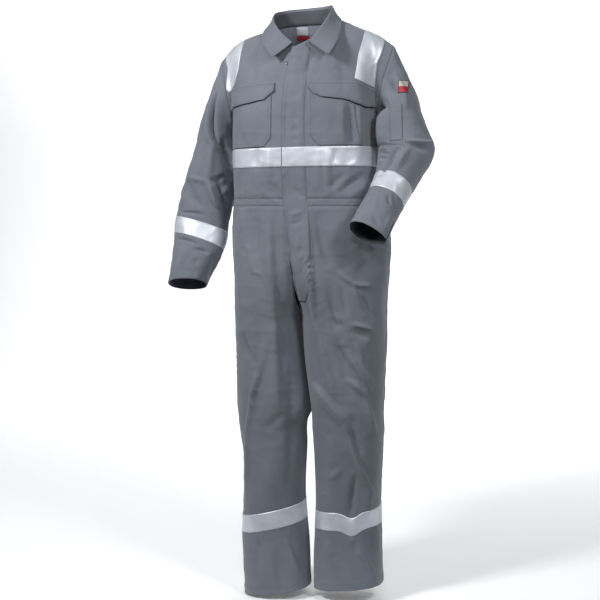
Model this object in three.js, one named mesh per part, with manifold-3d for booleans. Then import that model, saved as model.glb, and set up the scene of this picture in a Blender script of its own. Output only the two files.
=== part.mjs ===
// Work boiler suit, worn pose with no wearer. Millimetres, +Z up, the front faces -Y and
// the wearer's left is +X. The origin lies between the shoulders, where the wearer holds it.
import * as THREE from 'three';
import ManifoldModule from 'manifold-3d';

const wasm = await ManifoldModule();
wasm.setup();
const { Manifold, Mesh: SolidMesh } = wasm;

// Driving sizes.
const WALL = 2.0; // body cloth with its seam allowances
const TRIM_WALL = 1.3; // pockets, flaps and placket
const TAPE_WALL = 0.9; // reflective tape
const PATCH_WALL = 1.0;
const GAP = 0.35; // between what lies on a panel and the panel
const SEAM = 0.2; // each sewn edge stands back by this much
const SLEEVE_SEAM = 0.45;
const LEG_SEAM = 0.4;
const SQUARE = 2.4; // how square the body sections are, 2 is an ellipse
const TUBE_SQUARE = 2.1;

const UNDERARM_Z = -285;
const WAIST_TOP_Z = -471;
const WAIST_LOW_Z = -491;
const HIP_Z = -560; // the two trouser tubes start to part here
const CROTCH_Z = -790;
const SIDE_Y = 6; // the side seams lie just behind the middle

// Column counts of the cloth grids.
const NECK_COLS = 4;
const HALF_COLS = 10; // centre line to side seam
const ARMHOLE_ROWS = 9;
const LEG_COLS = 10;

// Body below the underarm: the centre line, half widths to each side and the depths.
const BODY = [
  { z: -285, mid: 0, right: 195, left: 203, front: 137, back: 122, tilt: 0.04 },
  { z: -340, mid: 1, right: 194, left: 201, front: 138, back: 122, tilt: 0.02 },
  { z: -400, mid: 1, right: 194, left: 208, front: 134, back: 120, tilt: 0.01 },
  { z: -480, mid: 1, right: 193, left: 223, front: 127, back: 116, tilt: 0 },
  { z: -560, mid: 1, right: 193, left: 237, front: 129, back: 124, tilt: 0 },
  { z: -630, mid: 1, right: 189, left: 237, front: 130, back: 132, tilt: 0 },
  { z: -700, mid: 1, right: 184, left: 232, front: 126, back: 130, tilt: 0 },
  { z: -790, mid: 1, right: 183, left: 229, front: 114, back: 116, tilt: 0 },
];

// Each leg below the crotch: outer and inner edges, half depth and how far the
// rings rise towards +X.
const LEG_RIGHT = [
  { z: -790, outer: -182, inner: 1, front: 114, back: 116, tilt: 0 },
  { z: -900, outer: -181, inner: 6, front: 104, back: 104, tilt: 0.02 },
  { z: -1040, outer: -176, inner: 17, front: 97, back: 95, tilt: 0.06 },
  { z: -1160, outer: -163, inner: 13, front: 90, back: 88, tilt: 0.16 },
  { z: -1300, outer: -163, inner: 7, front: 84, back: 82, tilt: 0.25 },
  { z: -1440, outer: -165, inner: 19, front: 80, back: 76, tilt: 0.2 },
  { z: -1549, outer: -161, inner: 23, front: 76, back: 72, tilt: 0.15 },
];
const LEG_LEFT = [
  { z: -790, outer: 230, inner: 1, front: 114, back: 116, tilt: 0 },
  { z: -900, outer: 228, inner: 13, front: 108, back: 104, tilt: 0.02 },
  { z: -1040, outer: 223, inner: 31, front: 102, back: 95, tilt: 0.05 },
  { z: -1160, outer: 223, inner: 37, front: 94, back: 88, tilt: 0.08 },
  { z: -1300, outer: 218, inner: 40, front: 86, back: 82, tilt: 0.09 },
  { z: -1440, outer: 223, inner: 34, front: 80, back: 76, tilt: 0.1 },
  { z: -1527, outer: 227, inner: 35, front: 76, back: 72, tilt: 0.11 },
];

// Neck and shoulder points of each side. The left shoulder stands higher.
const RIGHT = { sign: -1, neckX: -93, neckZ: -20, tipX: -222, tipZ: -98, bow: 16, key: 'right' };
const LEFT = { sign: 1, neckX: 103, neckZ: 4, tipX: 247, tipZ: -68, bow: 8, key: 'left' };
const FRONT = { face: -1, neckY: -109, neckZ: -77, scoopY: -92, armY: -44, key: 'front' };
const BACK = { face: 1, neckY: 66, neckZ: 8, scoopY: 46, armY: 50, key: 'back' };

// Sleeves: ring centres, half sizes across and fore-and-aft, and the way the ring faces.
const SLEEVE_RIGHT = [
  { x: -250, y: 12, z: -326, across: 47, deep: 63, dx: -0.16, dy: 0, dz: -0.99 },
  { x: -257, y: 14, z: -370, across: 54, deep: 65, dx: -0.15, dy: 0.02, dz: -0.99 },
  { x: -266, y: 14, z: -414, across: 62, deep: 64, dx: -0.12, dy: 0, dz: -0.99 },
  { x: -276, y: 12, z: -480, across: 70, deep: 62, dx: -0.16, dy: -0.1, dz: -0.98 },
  { x: -280, y: 4, z: -524, across: 74, deep: 60, dx: -0.24, dy: -0.2, dz: -0.95 },
  { x: -284, y: -8, z: -568, across: 76, deep: 57, dx: -0.28, dy: -0.26, dz: -0.93 },
  { x: -290, y: -22, z: -611, across: 69, deep: 55, dx: -0.26, dy: -0.3, dz: -0.92 },
  { x: -299, y: -38, z: -654, across: 60, deep: 53, dx: -0.1, dy: -0.33, dz: -0.93 },
  { x: -310, y: -55, z: -703, across: 53, deep: 52, dx: 0.04, dy: -0.35, dz: -0.93 },
];
const SLEEVE_LEFT = [
  { x: 268, y: 2, z: -250, across: 52, deep: 66, dx: 0.26, dy: -0.06, dz: -0.96 },
  { x: 274, y: -4, z: -300, across: 64, deep: 68, dx: 0.16, dy: -0.14, dz: -0.97 },
  { x: 281, y: -16, z: -345, across: 75, deep: 68, dx: 0, dy: -0.3, dz: -0.94 },
  { x: 270, y: -40, z: -386, across: 64, deep: 65, dx: -0.24, dy: -0.5, dz: -0.82 },
  { x: 259, y: -74, z: -424, across: 55, deep: 60, dx: -0.36, dy: -0.56, dz: -0.74 },
  { x: 244, y: -108, z: -462, across: 51, deep: 55, dx: -0.4, dy: -0.56, dz: -0.73 },
  { x: 227, y: -144, z: -503, across: 51, deep: 52, dx: -0.4, dy: -0.54, dz: -0.74 },
  { x: 204, y: -194, z: -562, across: 53, deep: 49, dx: -0.4, dy: -0.52, dz: -0.75 },
];

// Collar sections from the right front end round the back to the left front end:
// n is the neck seam, k the fold along the top and e the outer edge of the leaf.
const COLLAR = [
  { nx: -3, ny: -110, nz: -74, kx: -5, ky: -117, kz: -68, ex: -54, ey: -133, ez: -107 },
  { nx: -34, ny: -97, nz: -55, kx: -38, ky: -100, kz: -38, ex: -76, ey: -113, ez: -82 },
  { nx: -64, ny: -66, nz: -30, kx: -63, ky: -62, kz: -6, ex: -93, ey: -70, ez: -58 },
  { nx: -84, ny: -10, nz: -12, kx: -74, ky: -4, kz: 25, ex: -99, ey: -14, ez: -18 },
  { nx: -58, ny: 45, nz: 5, kx: -52, ky: 52, kz: 42, ex: -72, ey: 62, ez: 4 },
  { nx: 5, ny: 69, nz: 12, kx: 5, ky: 76, kz: 50, ex: 5, ey: 92, ez: 8 },
  { nx: 64, ny: 45, nz: 14, kx: 58, ky: 52, kz: 51, ex: 76, ey: 62, ez: 12 },
  { nx: 93, ny: -10, nz: 10, kx: 81, ky: -4, kz: 41, ex: 107, ey: -14, ez: 2 },
  { nx: 84, ny: -66, nz: -20, kx: 79, ky: -62, kz: 6, ex: 112, ey: -72, ez: -44 },
  { nx: 62, ny: -98, nz: -50, kx: 61, ky: -99, kz: -34, ex: 107, ey: -114, ez: -76 },
  { nx: 40, ny: -112, nz: -71, kx: 40, ky: -118, kz: -66, ex: 94, ey: -136, ez: -104 },
];

// Folds of body and legs in front or back view: from one end to the other, bowed
// sideways, wide as a half width; deep stands out of the cloth, or in where negative.
const FOLDS = [
  { face: -1, x0: -50, z0: -600, x1: -52, z1: -985, bow: 0, wide: 27, deep: 7 },
  { face: -1, x0: -8, z0: -600, x1: 0, z1: -770, bow: 0, wide: 16, deep: -5 },
  { face: -1, x0: -110, z0: -650, x1: -120, z1: -1010, bow: 6, wide: 24, deep: -6 },
  { face: -1, x0: 44, z0: -590, x1: 99, z1: -957, bow: 4, wide: 17, deep: 7 },
  { face: -1, x0: 84, z0: -930, x1: 186, z1: -1225, bow: 4, wide: 19, deep: 8 },
  { face: -1, x0: 84, z0: -640, x1: 152, z1: -980, bow: 0, wide: 20, deep: -6 },
  { face: -1, x0: 110, z0: -770, x1: 222, z1: -1090, bow: 10, wide: 18, deep: 6 },
  { face: -1, x0: 120, z0: -668, x1: 226, z1: -712, bow: 4, wide: 11, deep: -5 },
  { face: -1, x0: 150, z0: -800, x1: 228, z1: -788, bow: 0, wide: 12, deep: -5 },
  { face: -1, x0: -34, z0: -730, x1: -110, z1: -690, bow: 0, wide: 12, deep: -4 },
  { face: -1, x0: 148, z0: -1255, x1: 150, z1: -1420, bow: 0, wide: 15, deep: -8 },
  { face: -1, x0: 190, z0: -1235, x1: 192, z1: -1440, bow: 0, wide: 17, deep: 6 },
  { face: -1, x0: 60, z0: -1100, x1: 92, z1: -1480, bow: 0, wide: 26, deep: 5 },
  { face: -1, x0: -40, z0: -1120, x1: -60, z1: -1510, bow: 0, wide: 26, deep: 5 },
  { face: -1, x0: -140, z0: -1090, x1: -118, z1: -1500, bow: 0, wide: 17, deep: -5 },
  { face: -1, x0: -6, z0: -1010, x1: -120, z1: -1100, bow: 6, wide: 14, deep: -4 },
  { face: -1, x0: 90, z0: -398, x1: 140, z1: -460, bow: 0, wide: 11, deep: -4 },
  { face: -1, x0: 56, z0: -395, x1: 44, z1: -465, bow: 0, wide: 12, deep: 3 },
  { face: -1, x0: -60, z0: -398, x1: -66, z1: -620, bow: 0, wide: 18, deep: 4 },
  { face: -1, x0: -150, z0: -395, x1: -154, z1: -640, bow: 0, wide: 18, deep: -4 },
  { face: -1, x0: 150, z0: -225, x1: 182, z1: -325, bow: -4, wide: 12, deep: -6 },
  { face: -1, x0: 76, z0: -88, x1: 60, z1: -160, bow: 0, wide: 12, deep: -4 },
  { face: 1, x0: -64, z0: -760, x1: -96, z1: -1080, bow: 0, wide: 26, deep: 7 },
  { face: 1, x0: 100, z0: -750, x1: 136, z1: -1090, bow: 0, wide: 26, deep: 7 },
  { face: 1, x0: -150, z0: -1070, x1: -20, z1: -1120, bow: -8, wide: 15, deep: -6 },
  { face: 1, x0: 60, z0: -1130, x1: 200, z1: -1080, bow: -8, wide: 15, deep: -6 },
  { face: 1, x0: -130, z0: -1190, x1: -30, z1: -1160, bow: 6, wide: 15, deep: -5 },
  { face: 1, x0: -80, z0: -1200, x1: -70, z1: -1500, bow: 0, wide: 26, deep: 5 },
  { face: 1, x0: 120, z0: -1190, x1: 140, z1: -1500, bow: 0, wide: 26, deep: 5 },
  { face: 1, x0: -20, z0: -730, x1: -120, z1: -660, bow: 6, wide: 14, deep: -5 },
  { face: 1, x0: 24, z0: -725, x1: 140, z1: -650, bow: -6, wide: 14, deep: -5 },
  { face: 1, x0: -112, z0: -210, x1: -60, z1: -450, bow: 6, wide: 22, deep: 6 },
  { face: 1, x0: 120, z0: -200, x1: 72, z1: -455, bow: -6, wide: 22, deep: 6 },
  { face: 1, x0: -20, z0: -330, x1: -24, z1: -560, bow: 0, wide: 16, deep: -4 },
  { face: 1, x0: 40, z0: -350, x1: 34, z1: -600, bow: 0, wide: 16, deep: -4 },
  { face: 1, x0: -150, z0: -350, x1: -120, z1: -520, bow: 0, wide: 14, deep: -4 },
  { face: 1, x0: 176, z0: -350, x1: 130, z1: -530, bow: 0, wide: 14, deep: -4 },
];

// Folds of a sleeve: s is millimetres down from the armhole, a is millimetres round
// from the outer line towards the front.
const SLEEVE_ROUND = 420;
const SLEEVE_LONG = 640;
const FOLDS_RIGHT = [
  { x0: 98, z0: 300, x1: 126, z1: 372, bow: 0, wide: 11, deep: -8 },
  { x0: 188, z0: 296, x1: 132, z1: 372, bow: 6, wide: 11, deep: -7 },
  { x0: 52, z0: 292, x1: 92, z1: 400, bow: 0, wide: 13, deep: -6 },
  { x0: 150, z0: 60, x1: 176, z1: 300, bow: 8, wide: 15, deep: -7 },
  { x0: 30, z0: 60, x1: 40, z1: 330, bow: 0, wide: 22, deep: 5 },
  { x0: 90, z0: 440, x1: 80, z1: 600, bow: 0, wide: 20, deep: 4 },
  { x0: 330, z0: 330, x1: 250, z1: 360, bow: 8, wide: 13, deep: -7 },
  { x0: 340, z0: 400, x1: 260, z1: 380, bow: -8, wide: 13, deep: -6 },
];
const FOLDS_LEFT = [
  { x0: 70, z0: 270, x1: 168, z1: 372, bow: 8, wide: 13, deep: -9 },
  { x0: 40, z0: 268, x1: 150, z1: 258, bow: 4, wide: 11, deep: -6 },
  { x0: 120, z0: 236, x1: 212, z1: 252, bow: 4, wide: 10, deep: -7 },
  { x0: 120, z0: 212, x1: 206, z1: 214, bow: 2, wide: 9, deep: -5 },
  { x0: 60, z0: 40, x1: 96, z1: 200, bow: 0, wide: 16, deep: 5 },
  { x0: 110, z0: 40, x1: 140, z1: 190, bow: 0, wide: 13, deep: -6 },
  { x0: 60, z0: 470, x1: 110, z1: 590, bow: 0, wide: 15, deep: 4 },
  { x0: 330, z0: 250, x1: 230, z1: 262, bow: 6, wide: 14, deep: -6 },
];

// Where the leg cloth sags over the shin, and the rings with it.
const SAGS = [{ sign: 1, x: 148, z: -1330, wide: 30, tall: 90, drop: 15 }];

// Small maths.
const V = (x, y, z) => new THREE.Vector3(x, y, z);
const clamp = (x, a, b) => Math.min(b, Math.max(a, x));
const lerp = (a, b, t) => a + (b - a) * t;
const smooth = (x) => x * x * (3 - 2 * x);
const ease = (a, b, x) => smooth(clamp((x - a) / (b - a), 0, 1));
const range = (n, f) => Array.from({ length: n + 1 }, (_, i) => f(i / n, i));
const power = (x, n) => Math.sign(x) * Math.abs(x) ** (2 / n);

// Smooth curve through the rows of a table, by the column named key or by row number.
function along(table, at, key) {
  const last = table.length - 1;
  let i = 0;
  let t = clamp(at, 0, 1) * last;
  if (key) {
    while (i < last - 1 && at < table[i + 1][key]) i += 1;
    t = clamp((at - table[i][key]) / (table[i + 1][key] - table[i][key]), 0, 1);
  } else {
    i = Math.min(last - 1, Math.floor(t));
    t -= i;
  }
  const [a, b, c, d] = [i - 1, i, i + 1, i + 2].map((k) => table[clamp(k, 0, last)]);
  const row = {};
  for (const name of Object.keys(b)) {
    const m0 = i > 0 ? (c[name] - a[name]) / 2 : c[name] - b[name];
    const m1 = i < last - 1 ? (d[name] - b[name]) / 2 : c[name] - b[name];
    const even = key ? spanShare(a, b, c, d, key) : [1, 1];
    const s = 1 - t;
    row[name] = b[name] * (1 + 2 * t) * s * s + c[name] * t * t * (3 - 2 * t)
      + m0 * even[0] * t * s * s - m1 * even[1] * t * t * s;
  }
  return row;
}

// Evens out the tangents where the rows are not equally spaced.
function spanShare(a, b, c, d, key) {
  const span = c[key] - b[key];
  const before = a === b ? 1 : (2 * span) / (c[key] - a[key]);
  const after = c === d ? 1 : (2 * span) / (d[key] - b[key]);
  return [before, after];
}

function bezier(p, t) {
  const s = 1 - t;
  return V(0, 0, 0)
    .addScaledVector(p[0], s * s * s)
    .addScaledVector(p[1], 3 * s * s * t)
    .addScaledVector(p[2], 3 * s * t * t)
    .addScaledVector(p[3], t * t * t);
}

// Point on the section of the body at height z; u runs from the centre line to the side.
function bodyPoint(side, end, u, z) {
  const row = along(BODY, z, 'z');
  const angle = u * Math.PI / 2;
  const width = side.sign < 0 ? row.right : row.left;
  const depth = end.face < 0 ? row.front : row.back;
  const x = row.mid + side.sign * width * power(Math.sin(angle), SQUARE);
  const y = lerp(end.face * depth * power(Math.cos(angle), SQUARE), SIDE_Y, ease(0.6, 1, u));
  return V(x, y, z + row.tilt * x);
}

// Top edge of an upper panel: the neckline, then the shoulder seam.
function topPoint(side, end, u) {
  const split = NECK_COLS / HALF_COLS;
  const neck = V(side.neckX, -4, side.neckZ);
  if (u > split) {
    const t = (u - split) / (1 - split);
    const tip = V(side.tipX, 2, side.tipZ);
    return neck.lerp(tip, t).add(V(0, 0, side.bow * Math.sin(Math.PI * t ** 1.4)));
  }
  const t = u / split;
  const middle = V(end.face < 0 ? 1 : 4, end.neckY, end.neckZ);
  const pull = V(lerp(middle.x, neck.x, end.face < 0 ? 0.5 : 0.78), end.scoopY,
    lerp(end.neckZ, side.neckZ, end.face < 0 ? 0.3 : 0.1));
  const rise = V(lerp(middle.x, neck.x, 0.96), lerp(end.neckY, -4, 0.6), lerp(end.neckZ, side.neckZ, 0.8));
  return bezier([middle, pull, rise, neck], t);
}

// Upper panel above the underarm: each column leaves the top edge and turns down to the chest.
function shoulderPoint(side, end, u, t) {
  const split = NECK_COLS / HALF_COLS;
  const top = topPoint(side, end, u);
  const foot = bodyPoint(side, end, u, UNDERARM_Z);
  const onNeck = 1 - ease(0, split, u);
  const onArm = ease(0.72, 1, u);
  const out = end.face;
  const start = V(0, out * lerp(62, 12, onNeck), lerp(-16, end.face < 0 ? -60 : -48, onNeck));
  start.lerp(V(-side.sign * 8, end.armY * 0.95, -46), onArm);
  const finish = V(0, 0, lerp(112, 70, onNeck));
  finish.lerp(V(-side.sign * 14, end.armY * 1.05, 42), onArm);
  return bezier([top, top.clone().add(start), foot.clone().add(finish), foot], t);
}

// Point of a leg tube; u runs from the centre line or inseam to the side seam.
function legPoint(side, end, u, z) {
  const legs = side.sign < 0 ? LEG_RIGHT : LEG_LEFT;
  const above = z >= CROTCH_Z;
  const body = along(BODY, Math.max(z, CROTCH_Z), 'z');
  const leg = along(legs, Math.min(z, CROTCH_Z), 'z');
  const part = ease(HIP_Z, CROTCH_Z, z) ** 0.9;
  const bodyEdge = body.mid + side.sign * (side.sign < 0 ? body.right : body.left);
  const outer = above ? bodyEdge : leg.outer;
  const inner = above ? body.mid : leg.inner;
  const width = Math.abs(outer - inner);
  const shift = (width / 2) * part;
  const reach = width - shift;
  const turn = Math.asin(clamp((shift / reach) ** (SQUARE / 2), 0, 1));
  const angle = lerp(-turn, Math.PI / 2, u);
  const row = above ? body : leg;
  const depth = end.face < 0 ? row.front : row.back;
  const x = inner + side.sign * (shift + reach * power(Math.sin(angle), SQUARE));
  const centre = lerp(SIDE_Y, 0, part);
  const y = centre * (u > 0.6 ? ease(0.6, 1, u) : part * (1 - ease(0, 0.4, u)))
    + end.face * depth * power(Math.cos(angle), SQUARE);
  const middle = (outer + inner) / 2;
  const sag = SAGS.filter((g) => g.sign === side.sign && end.face < 0).reduce((sum, g) => sum
    + g.drop * Math.exp(-(((x - g.x) / g.wide) ** 2) - ((z - g.z) / g.tall) ** 2), 0);
  return V(x, y, z - sag + row.tilt * (x - middle) * (above ? 0 : 1));
}

// How far one fold lifts the cloth at a place in its view.
function foldHeight(fold, x, z) {
  const [lx, lz] = [fold.x1 - fold.x0, fold.z1 - fold.z0];
  const length = Math.hypot(lx, lz);
  const t = ((x - fold.x0) * lx + (z - fold.z0) * lz) / (length * length);
  if (t <= 0 || t >= 1) return 0;
  const off = ((x - fold.x0) * lz - (z - fold.z0) * lx) / length - fold.bow * 4 * t * (1 - t);
  return fold.deep * Math.exp(-((off / fold.wide) ** 2)) * Math.sin(Math.PI * t) ** 0.7;
}

// Moves each point of a body or leg grid along its direction by the folds at that place.
function creased(grid) {
  const rows = grid.rows.map((row, j) => row.map((p, i) => {
    const n = grid.normals[j][i];
    const inward = FOLDS.filter((f) => f.face * n.y > 0)
      .reduce((sum, f) => sum + foldHeight(f, p.x, p.z) * clamp((Math.abs(n.y) - 0.25) / 0.55, 0, 1), 0);
    return p.clone().addScaledVector(n, inward);
  }));
  return makeGrid(rows, grid.closed);
}

// The same for a sleeve; its own columns tell how far round the point lies.
function creasedSleeve(grid, folds, sign) {
  const cols = grid.rows[0].length;
  const last = grid.rows.length - 1;
  const rows = grid.rows.map((row, j) => row.map((p, i) => {
    const turn = sign < 0 ? i / cols : ((cols - i) % cols) / cols;
    const s = (j / last) * SLEEVE_LONG;
    const rise = folds.reduce((sum, f) => sum + foldHeight(f, turn * SLEEVE_ROUND, s), 0);
    return p.clone().addScaledVector(grid.normals[j][i], rise * ease(0, 60, s));
  }));
  return makeGrid(rows, true);
}

// A grid holds rows of points that run from top to bottom. Along a row the points run
// anticlockwise seen from above, so that the outside is always on the same hand.
function makeGrid(rows, closed = false) {
  const count = rows.length;
  const cols = rows[0].length;
  const normals = rows.map((row, j) => row.map((_, i) => {
    const left = closed ? row[(i + cols - 1) % cols] : row[Math.max(i - 1, 0)];
    const right = closed ? row[(i + 1) % cols] : row[Math.min(i + 1, cols - 1)];
    const up = rows[Math.max(j - 1, 0)][i];
    const down = rows[Math.min(j + 1, count - 1)][i];
    return down.clone().sub(up).cross(right.clone().sub(left)).normalize();
  }));
  return { rows, normals, closed };
}

// Grids that share a seam share the directions along it as well, but not where they fold
// back on each other as at the underarm.
const SAME_SIDE = -0.5;
function shareNormals(grids) {
  const met = meetings(grids, (g, j, i) => g.normals[j][i].clone());
  everyPoint(grids, (g, j, i, p) => {
    const own = g.normals[j][i];
    const sum = V(0, 0, 0);
    for (const n of met.get(placeName(p))) {
      if (n.dot(own) > SAME_SIDE) sum.add(n);
    }
    own.copy(sum.normalize());
  });
}

const placeName = (p) => [p.x, p.y, p.z].map((c) => String(Math.round(c * 16 + 0.137))).join();
function everyPoint(grids, f) {
  grids.forEach((g, k) => g.rows.forEach((row, j) => row.forEach((p, i) => f(g, j, i, p, k))));
}

// What the grids hold at each place, where seams meet more than one.
function meetings(grids, pick) {
  const met = new Map();
  everyPoint(grids, (g, j, i, p, k) => {
    const list = met.get(placeName(p)) ?? [];
    list.push(pick(g, j, i, k));
    met.set(placeName(p), list);
  });
  return met;
}

// Points that met on a seam before the cloth was creased meet again after it.
function weld(plainGrids, creasedGrids) {
  const met = meetings(plainGrids, (g, j, i, k) => creasedGrids[k].rows[j][i].clone());
  everyPoint(plainGrids, (g, j, i, p, k) => {
    const all = met.get(placeName(p));
    const middle = all.reduce((sum, q) => sum.add(q), V(0, 0, 0)).divideScalar(all.length);
    met.set(placeName(p), all.map(() => middle.clone()));
    creasedGrids[k].rows[j][i] = middle.clone();
  });
  return creasedGrids.map((g) => makeGrid(g.rows, g.closed));
}

function part(grid, rowFrom, rowTo, colFrom = 0, colTo = grid.rows[0].length - 1) {
  const cut = (table) => table.slice(rowFrom, rowTo + 1).map((row) => row.slice(colFrom, colTo + 1));
  return { rows: cut(grid.rows), normals: cut(grid.normals), closed: grid.closed };
}

// The columns of a tube from one round to another.
function strip(tube, colFrom, colTo) {
  const cols = tube.rows[0].length;
  const count = ((colTo - colFrom + cols) % cols) + 1;
  const picks = Array.from({ length: count }, (_, k) => (colFrom + k) % cols);
  const cut = (table) => table.map((row) => picks.map((i) => row[i]));
  return { rows: cut(tube.rows), normals: cut(tube.normals), closed: false };
}

// Side by side, the last column of one on the first of the next.
function beside(...grids) {
  const join = (kind) => grids[0][kind].map((_, j) => grids.flatMap((g, k) => g[kind][j].slice(k ? 1 : 0)));
  return { rows: join('rows'), normals: join('normals'), closed: false };
}

// One above the other, the last row of one on the first of the next.
function below(...grids) {
  const join = (kind) => grids.flatMap((g, k) => g[kind].slice(k ? 1 : 0));
  return { rows: join('rows'), normals: join('normals'), closed: false };
}

// Closes a strip of grids that meet all the way round into a tube.
function around(...grids) {
  const open = beside(...grids);
  const cut = (table) => table.map((row) => row.slice(0, -1));
  return { rows: cut(open.rows), normals: cut(open.normals), closed: true };
}

// Solid sheet between two offsets from a grid, its top and bottom edges and its sides set back.
function sheet(grid, from, to, ends = SEAM, sides = ends) {
  const { rows, normals, closed } = grid;
  const count = rows.length;
  const cols = rows[0].length;
  const points = [];
  const step = (a, b, size) => b.clone().sub(a).setLength(size);
  for (const offset of [to, from]) {
    rows.forEach((row, j) => row.forEach((p, i) => {
      const q = p.clone().addScaledVector(normals[j][i], offset);
      if (j === 0) q.add(step(p, rows[1][i], ends));
      if (j === count - 1) q.add(step(p, rows[j - 1][i], ends));
      if (!closed && i === 0) q.add(step(p, row[1], sides));
      if (!closed && i === cols - 1) q.add(step(p, row[i - 1], sides));
      points.push(q.x, q.y, q.z);
    }));
  }
  const inside = count * cols;
  const at = (j, i) => j * cols + (i % cols);
  const faces = [];
  const spans = closed ? cols : cols - 1;
  for (let j = 0; j < count - 1; j += 1) {
    for (let i = 0; i < spans; i += 1) {
      const [a, b, c, d] = [at(j, i), at(j, i + 1), at(j + 1, i + 1), at(j + 1, i)];
      faces.push(a, d, b, b, d, c);
      faces.push(a + inside, b + inside, d + inside, b + inside, c + inside, d + inside);
    }
  }
  const wall = (a, b) => faces.push(a, b, b + inside, a, b + inside, a + inside);
  for (let i = 0; i < spans; i += 1) {
    wall(at(0, i), at(0, i + 1));
    wall(at(count - 1, i + 1), at(count - 1, i));
  }
  if (!closed) {
    for (let j = 0; j < count - 1; j += 1) {
      wall(at(j + 1, 0), at(j, 0));
      wall(at(j, cols - 1), at(j + 1, cols - 1));
    }
  }
  const geometry = new THREE.BufferGeometry();
  geometry.setAttribute('position', new THREE.Float32BufferAttribute(points, 3));
  geometry.setIndex(faces);
  return geometry;
}

function toSolid(geometry) {
  const mesh = new SolidMesh({
    numProp: 3,
    vertProperties: new Float32Array(geometry.attributes.position.array),
    triVerts: new Uint32Array(geometry.index.array),
  });
  mesh.merge();
  return new Manifold(mesh);
}

function toGeometry(solid) {
  const mesh = solid.getMesh();
  const geometry = new THREE.BufferGeometry();
  geometry.setAttribute('position', new THREE.Float32BufferAttribute(mesh.vertProperties, 3));
  geometry.setIndex(Array.from(mesh.triVerts));
  return geometry;
}

// Prism through a front-view outline of [x, z] corners, from one depth to another.
function prism(outline, yFrom, yTo) {
  const shape = new THREE.Shape(outline.map(([x, z]) => new THREE.Vector2(x, z)));
  const solid = new THREE.ExtrudeGeometry(shape, { depth: yTo - yFrom, bevelEnabled: false });
  solid.rotateX(Math.PI / 2);
  solid.translate(0, yTo, 0);
  const count = solid.attributes.position.count;
  solid.setIndex(Array.from({ length: count }, (_, i) => i));
  return toSolid(solid);
}

function cutSheet(grid, from, to, cutter) {
  return toSolid(sheet(grid, from, to, 0)).intersect(cutter);
}

// Grids of the upper body.
const TAPE_CHEST = [-338, -389];
const UPPER_ZS = [-285, -311, ...TAPE_CHEST, -417, -444, WAIST_TOP_Z];
const halfUs = range(HALF_COLS, (t) => t);

function upperHalf(side, end) {
  const rows = range(ARMHOLE_ROWS, (t) => halfUs.map((u) => shoulderPoint(side, end, u, t)));
  for (const z of UPPER_ZS.slice(1)) rows.push(halfUs.map((u) => bodyPoint(side, end, u, z)));
  return rows;
}
const turned = (rows) => rows.map((row) => [...row].reverse());

const plainFrontRight = makeGrid(turned(upperHalf(RIGHT, FRONT)));
const plainFrontLeft = makeGrid(upperHalf(LEFT, FRONT));
const backRows = upperHalf(RIGHT, BACK);
const backLeftRows = turned(upperHalf(LEFT, BACK));
const plainBack = makeGrid(backLeftRows.map((row, j) => [...row, ...backRows[j].slice(1)]));

// Grids of the waistband.
const WAIST_ZS = [WAIST_TOP_Z, WAIST_LOW_Z];
const waistHalf = (side, end) => WAIST_ZS.map((z) => halfUs.map((u) => bodyPoint(side, end, u, z)));
const plainBandRight = makeGrid(turned(waistHalf(RIGHT, FRONT)));
const plainBandLeft = makeGrid(waistHalf(LEFT, FRONT));
const bandBackRight = waistHalf(RIGHT, BACK);
const bandBackLeft = turned(waistHalf(LEFT, BACK));
const plainBandBack = makeGrid(bandBackLeft.map((row, j) => [...row, ...bandBackRight[j].slice(1)]));

// Grids of the legs.
const RISE_ZS = [WAIST_LOW_Z, -525, -560, -600, -640, -680, -715, -745, -770, CROTCH_Z];
const LEG_ZS_RIGHT = [-815, -850, -895, -945, -1000, -1055, -1110, -1165, -1220, -1270, -1318, -1368,
  -1420, -1470, -1513, -1549];
const LEG_ZS_LEFT = [-815, -850, -895, -945, -1000, -1055, -1110, -1165, -1215, -1265, -1308, -1358,
  -1410, -1453, -1493, -1527];
const TAPE_LEG_ROWS = [RISE_ZS.length + 10, RISE_ZS.length + 11];
const legUs = range(LEG_COLS, (t) => t);

// Rows of a trouser panel, which starts on the waistband's own section.
function legRows(side, end) {
  const zs = [...RISE_ZS, ...(side.sign < 0 ? LEG_ZS_RIGHT : LEG_ZS_LEFT)];
  return zs.map((z) => legUs.map((u) => {
    const own = legPoint(side, end, u, z);
    return z > HIP_Z ? bodyPoint(side, end, u, z).lerp(own, ease(WAIST_LOW_Z, HIP_Z, z)) : own;
  }));
}

const plainLegs = {
  frontRight: makeGrid(turned(legRows(RIGHT, FRONT))),
  backRight: makeGrid(legRows(RIGHT, BACK)),
  frontLeft: makeGrid(legRows(LEFT, FRONT)),
  backLeft: makeGrid(turned(legRows(LEFT, BACK))),
};

// Point on a sleeve ring; the angle runs from the outer line towards the front.
function ringPoint(row, sign, angle) {
  const way = V(row.dx, row.dy, row.dz).normalize();
  const forward = V(0, -1, 0).addScaledVector(way, way.y).normalize();
  const outward = forward.clone().cross(way).multiplyScalar(-sign).normalize();
  if (outward.x * sign < 0) outward.negate();
  return V(row.x, row.y, row.z)
    .addScaledVector(outward, row.across * power(Math.cos(angle), TUBE_SQUARE))
    .addScaledVector(forward, row.deep * power(Math.sin(angle), TUBE_SQUARE));
}

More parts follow.
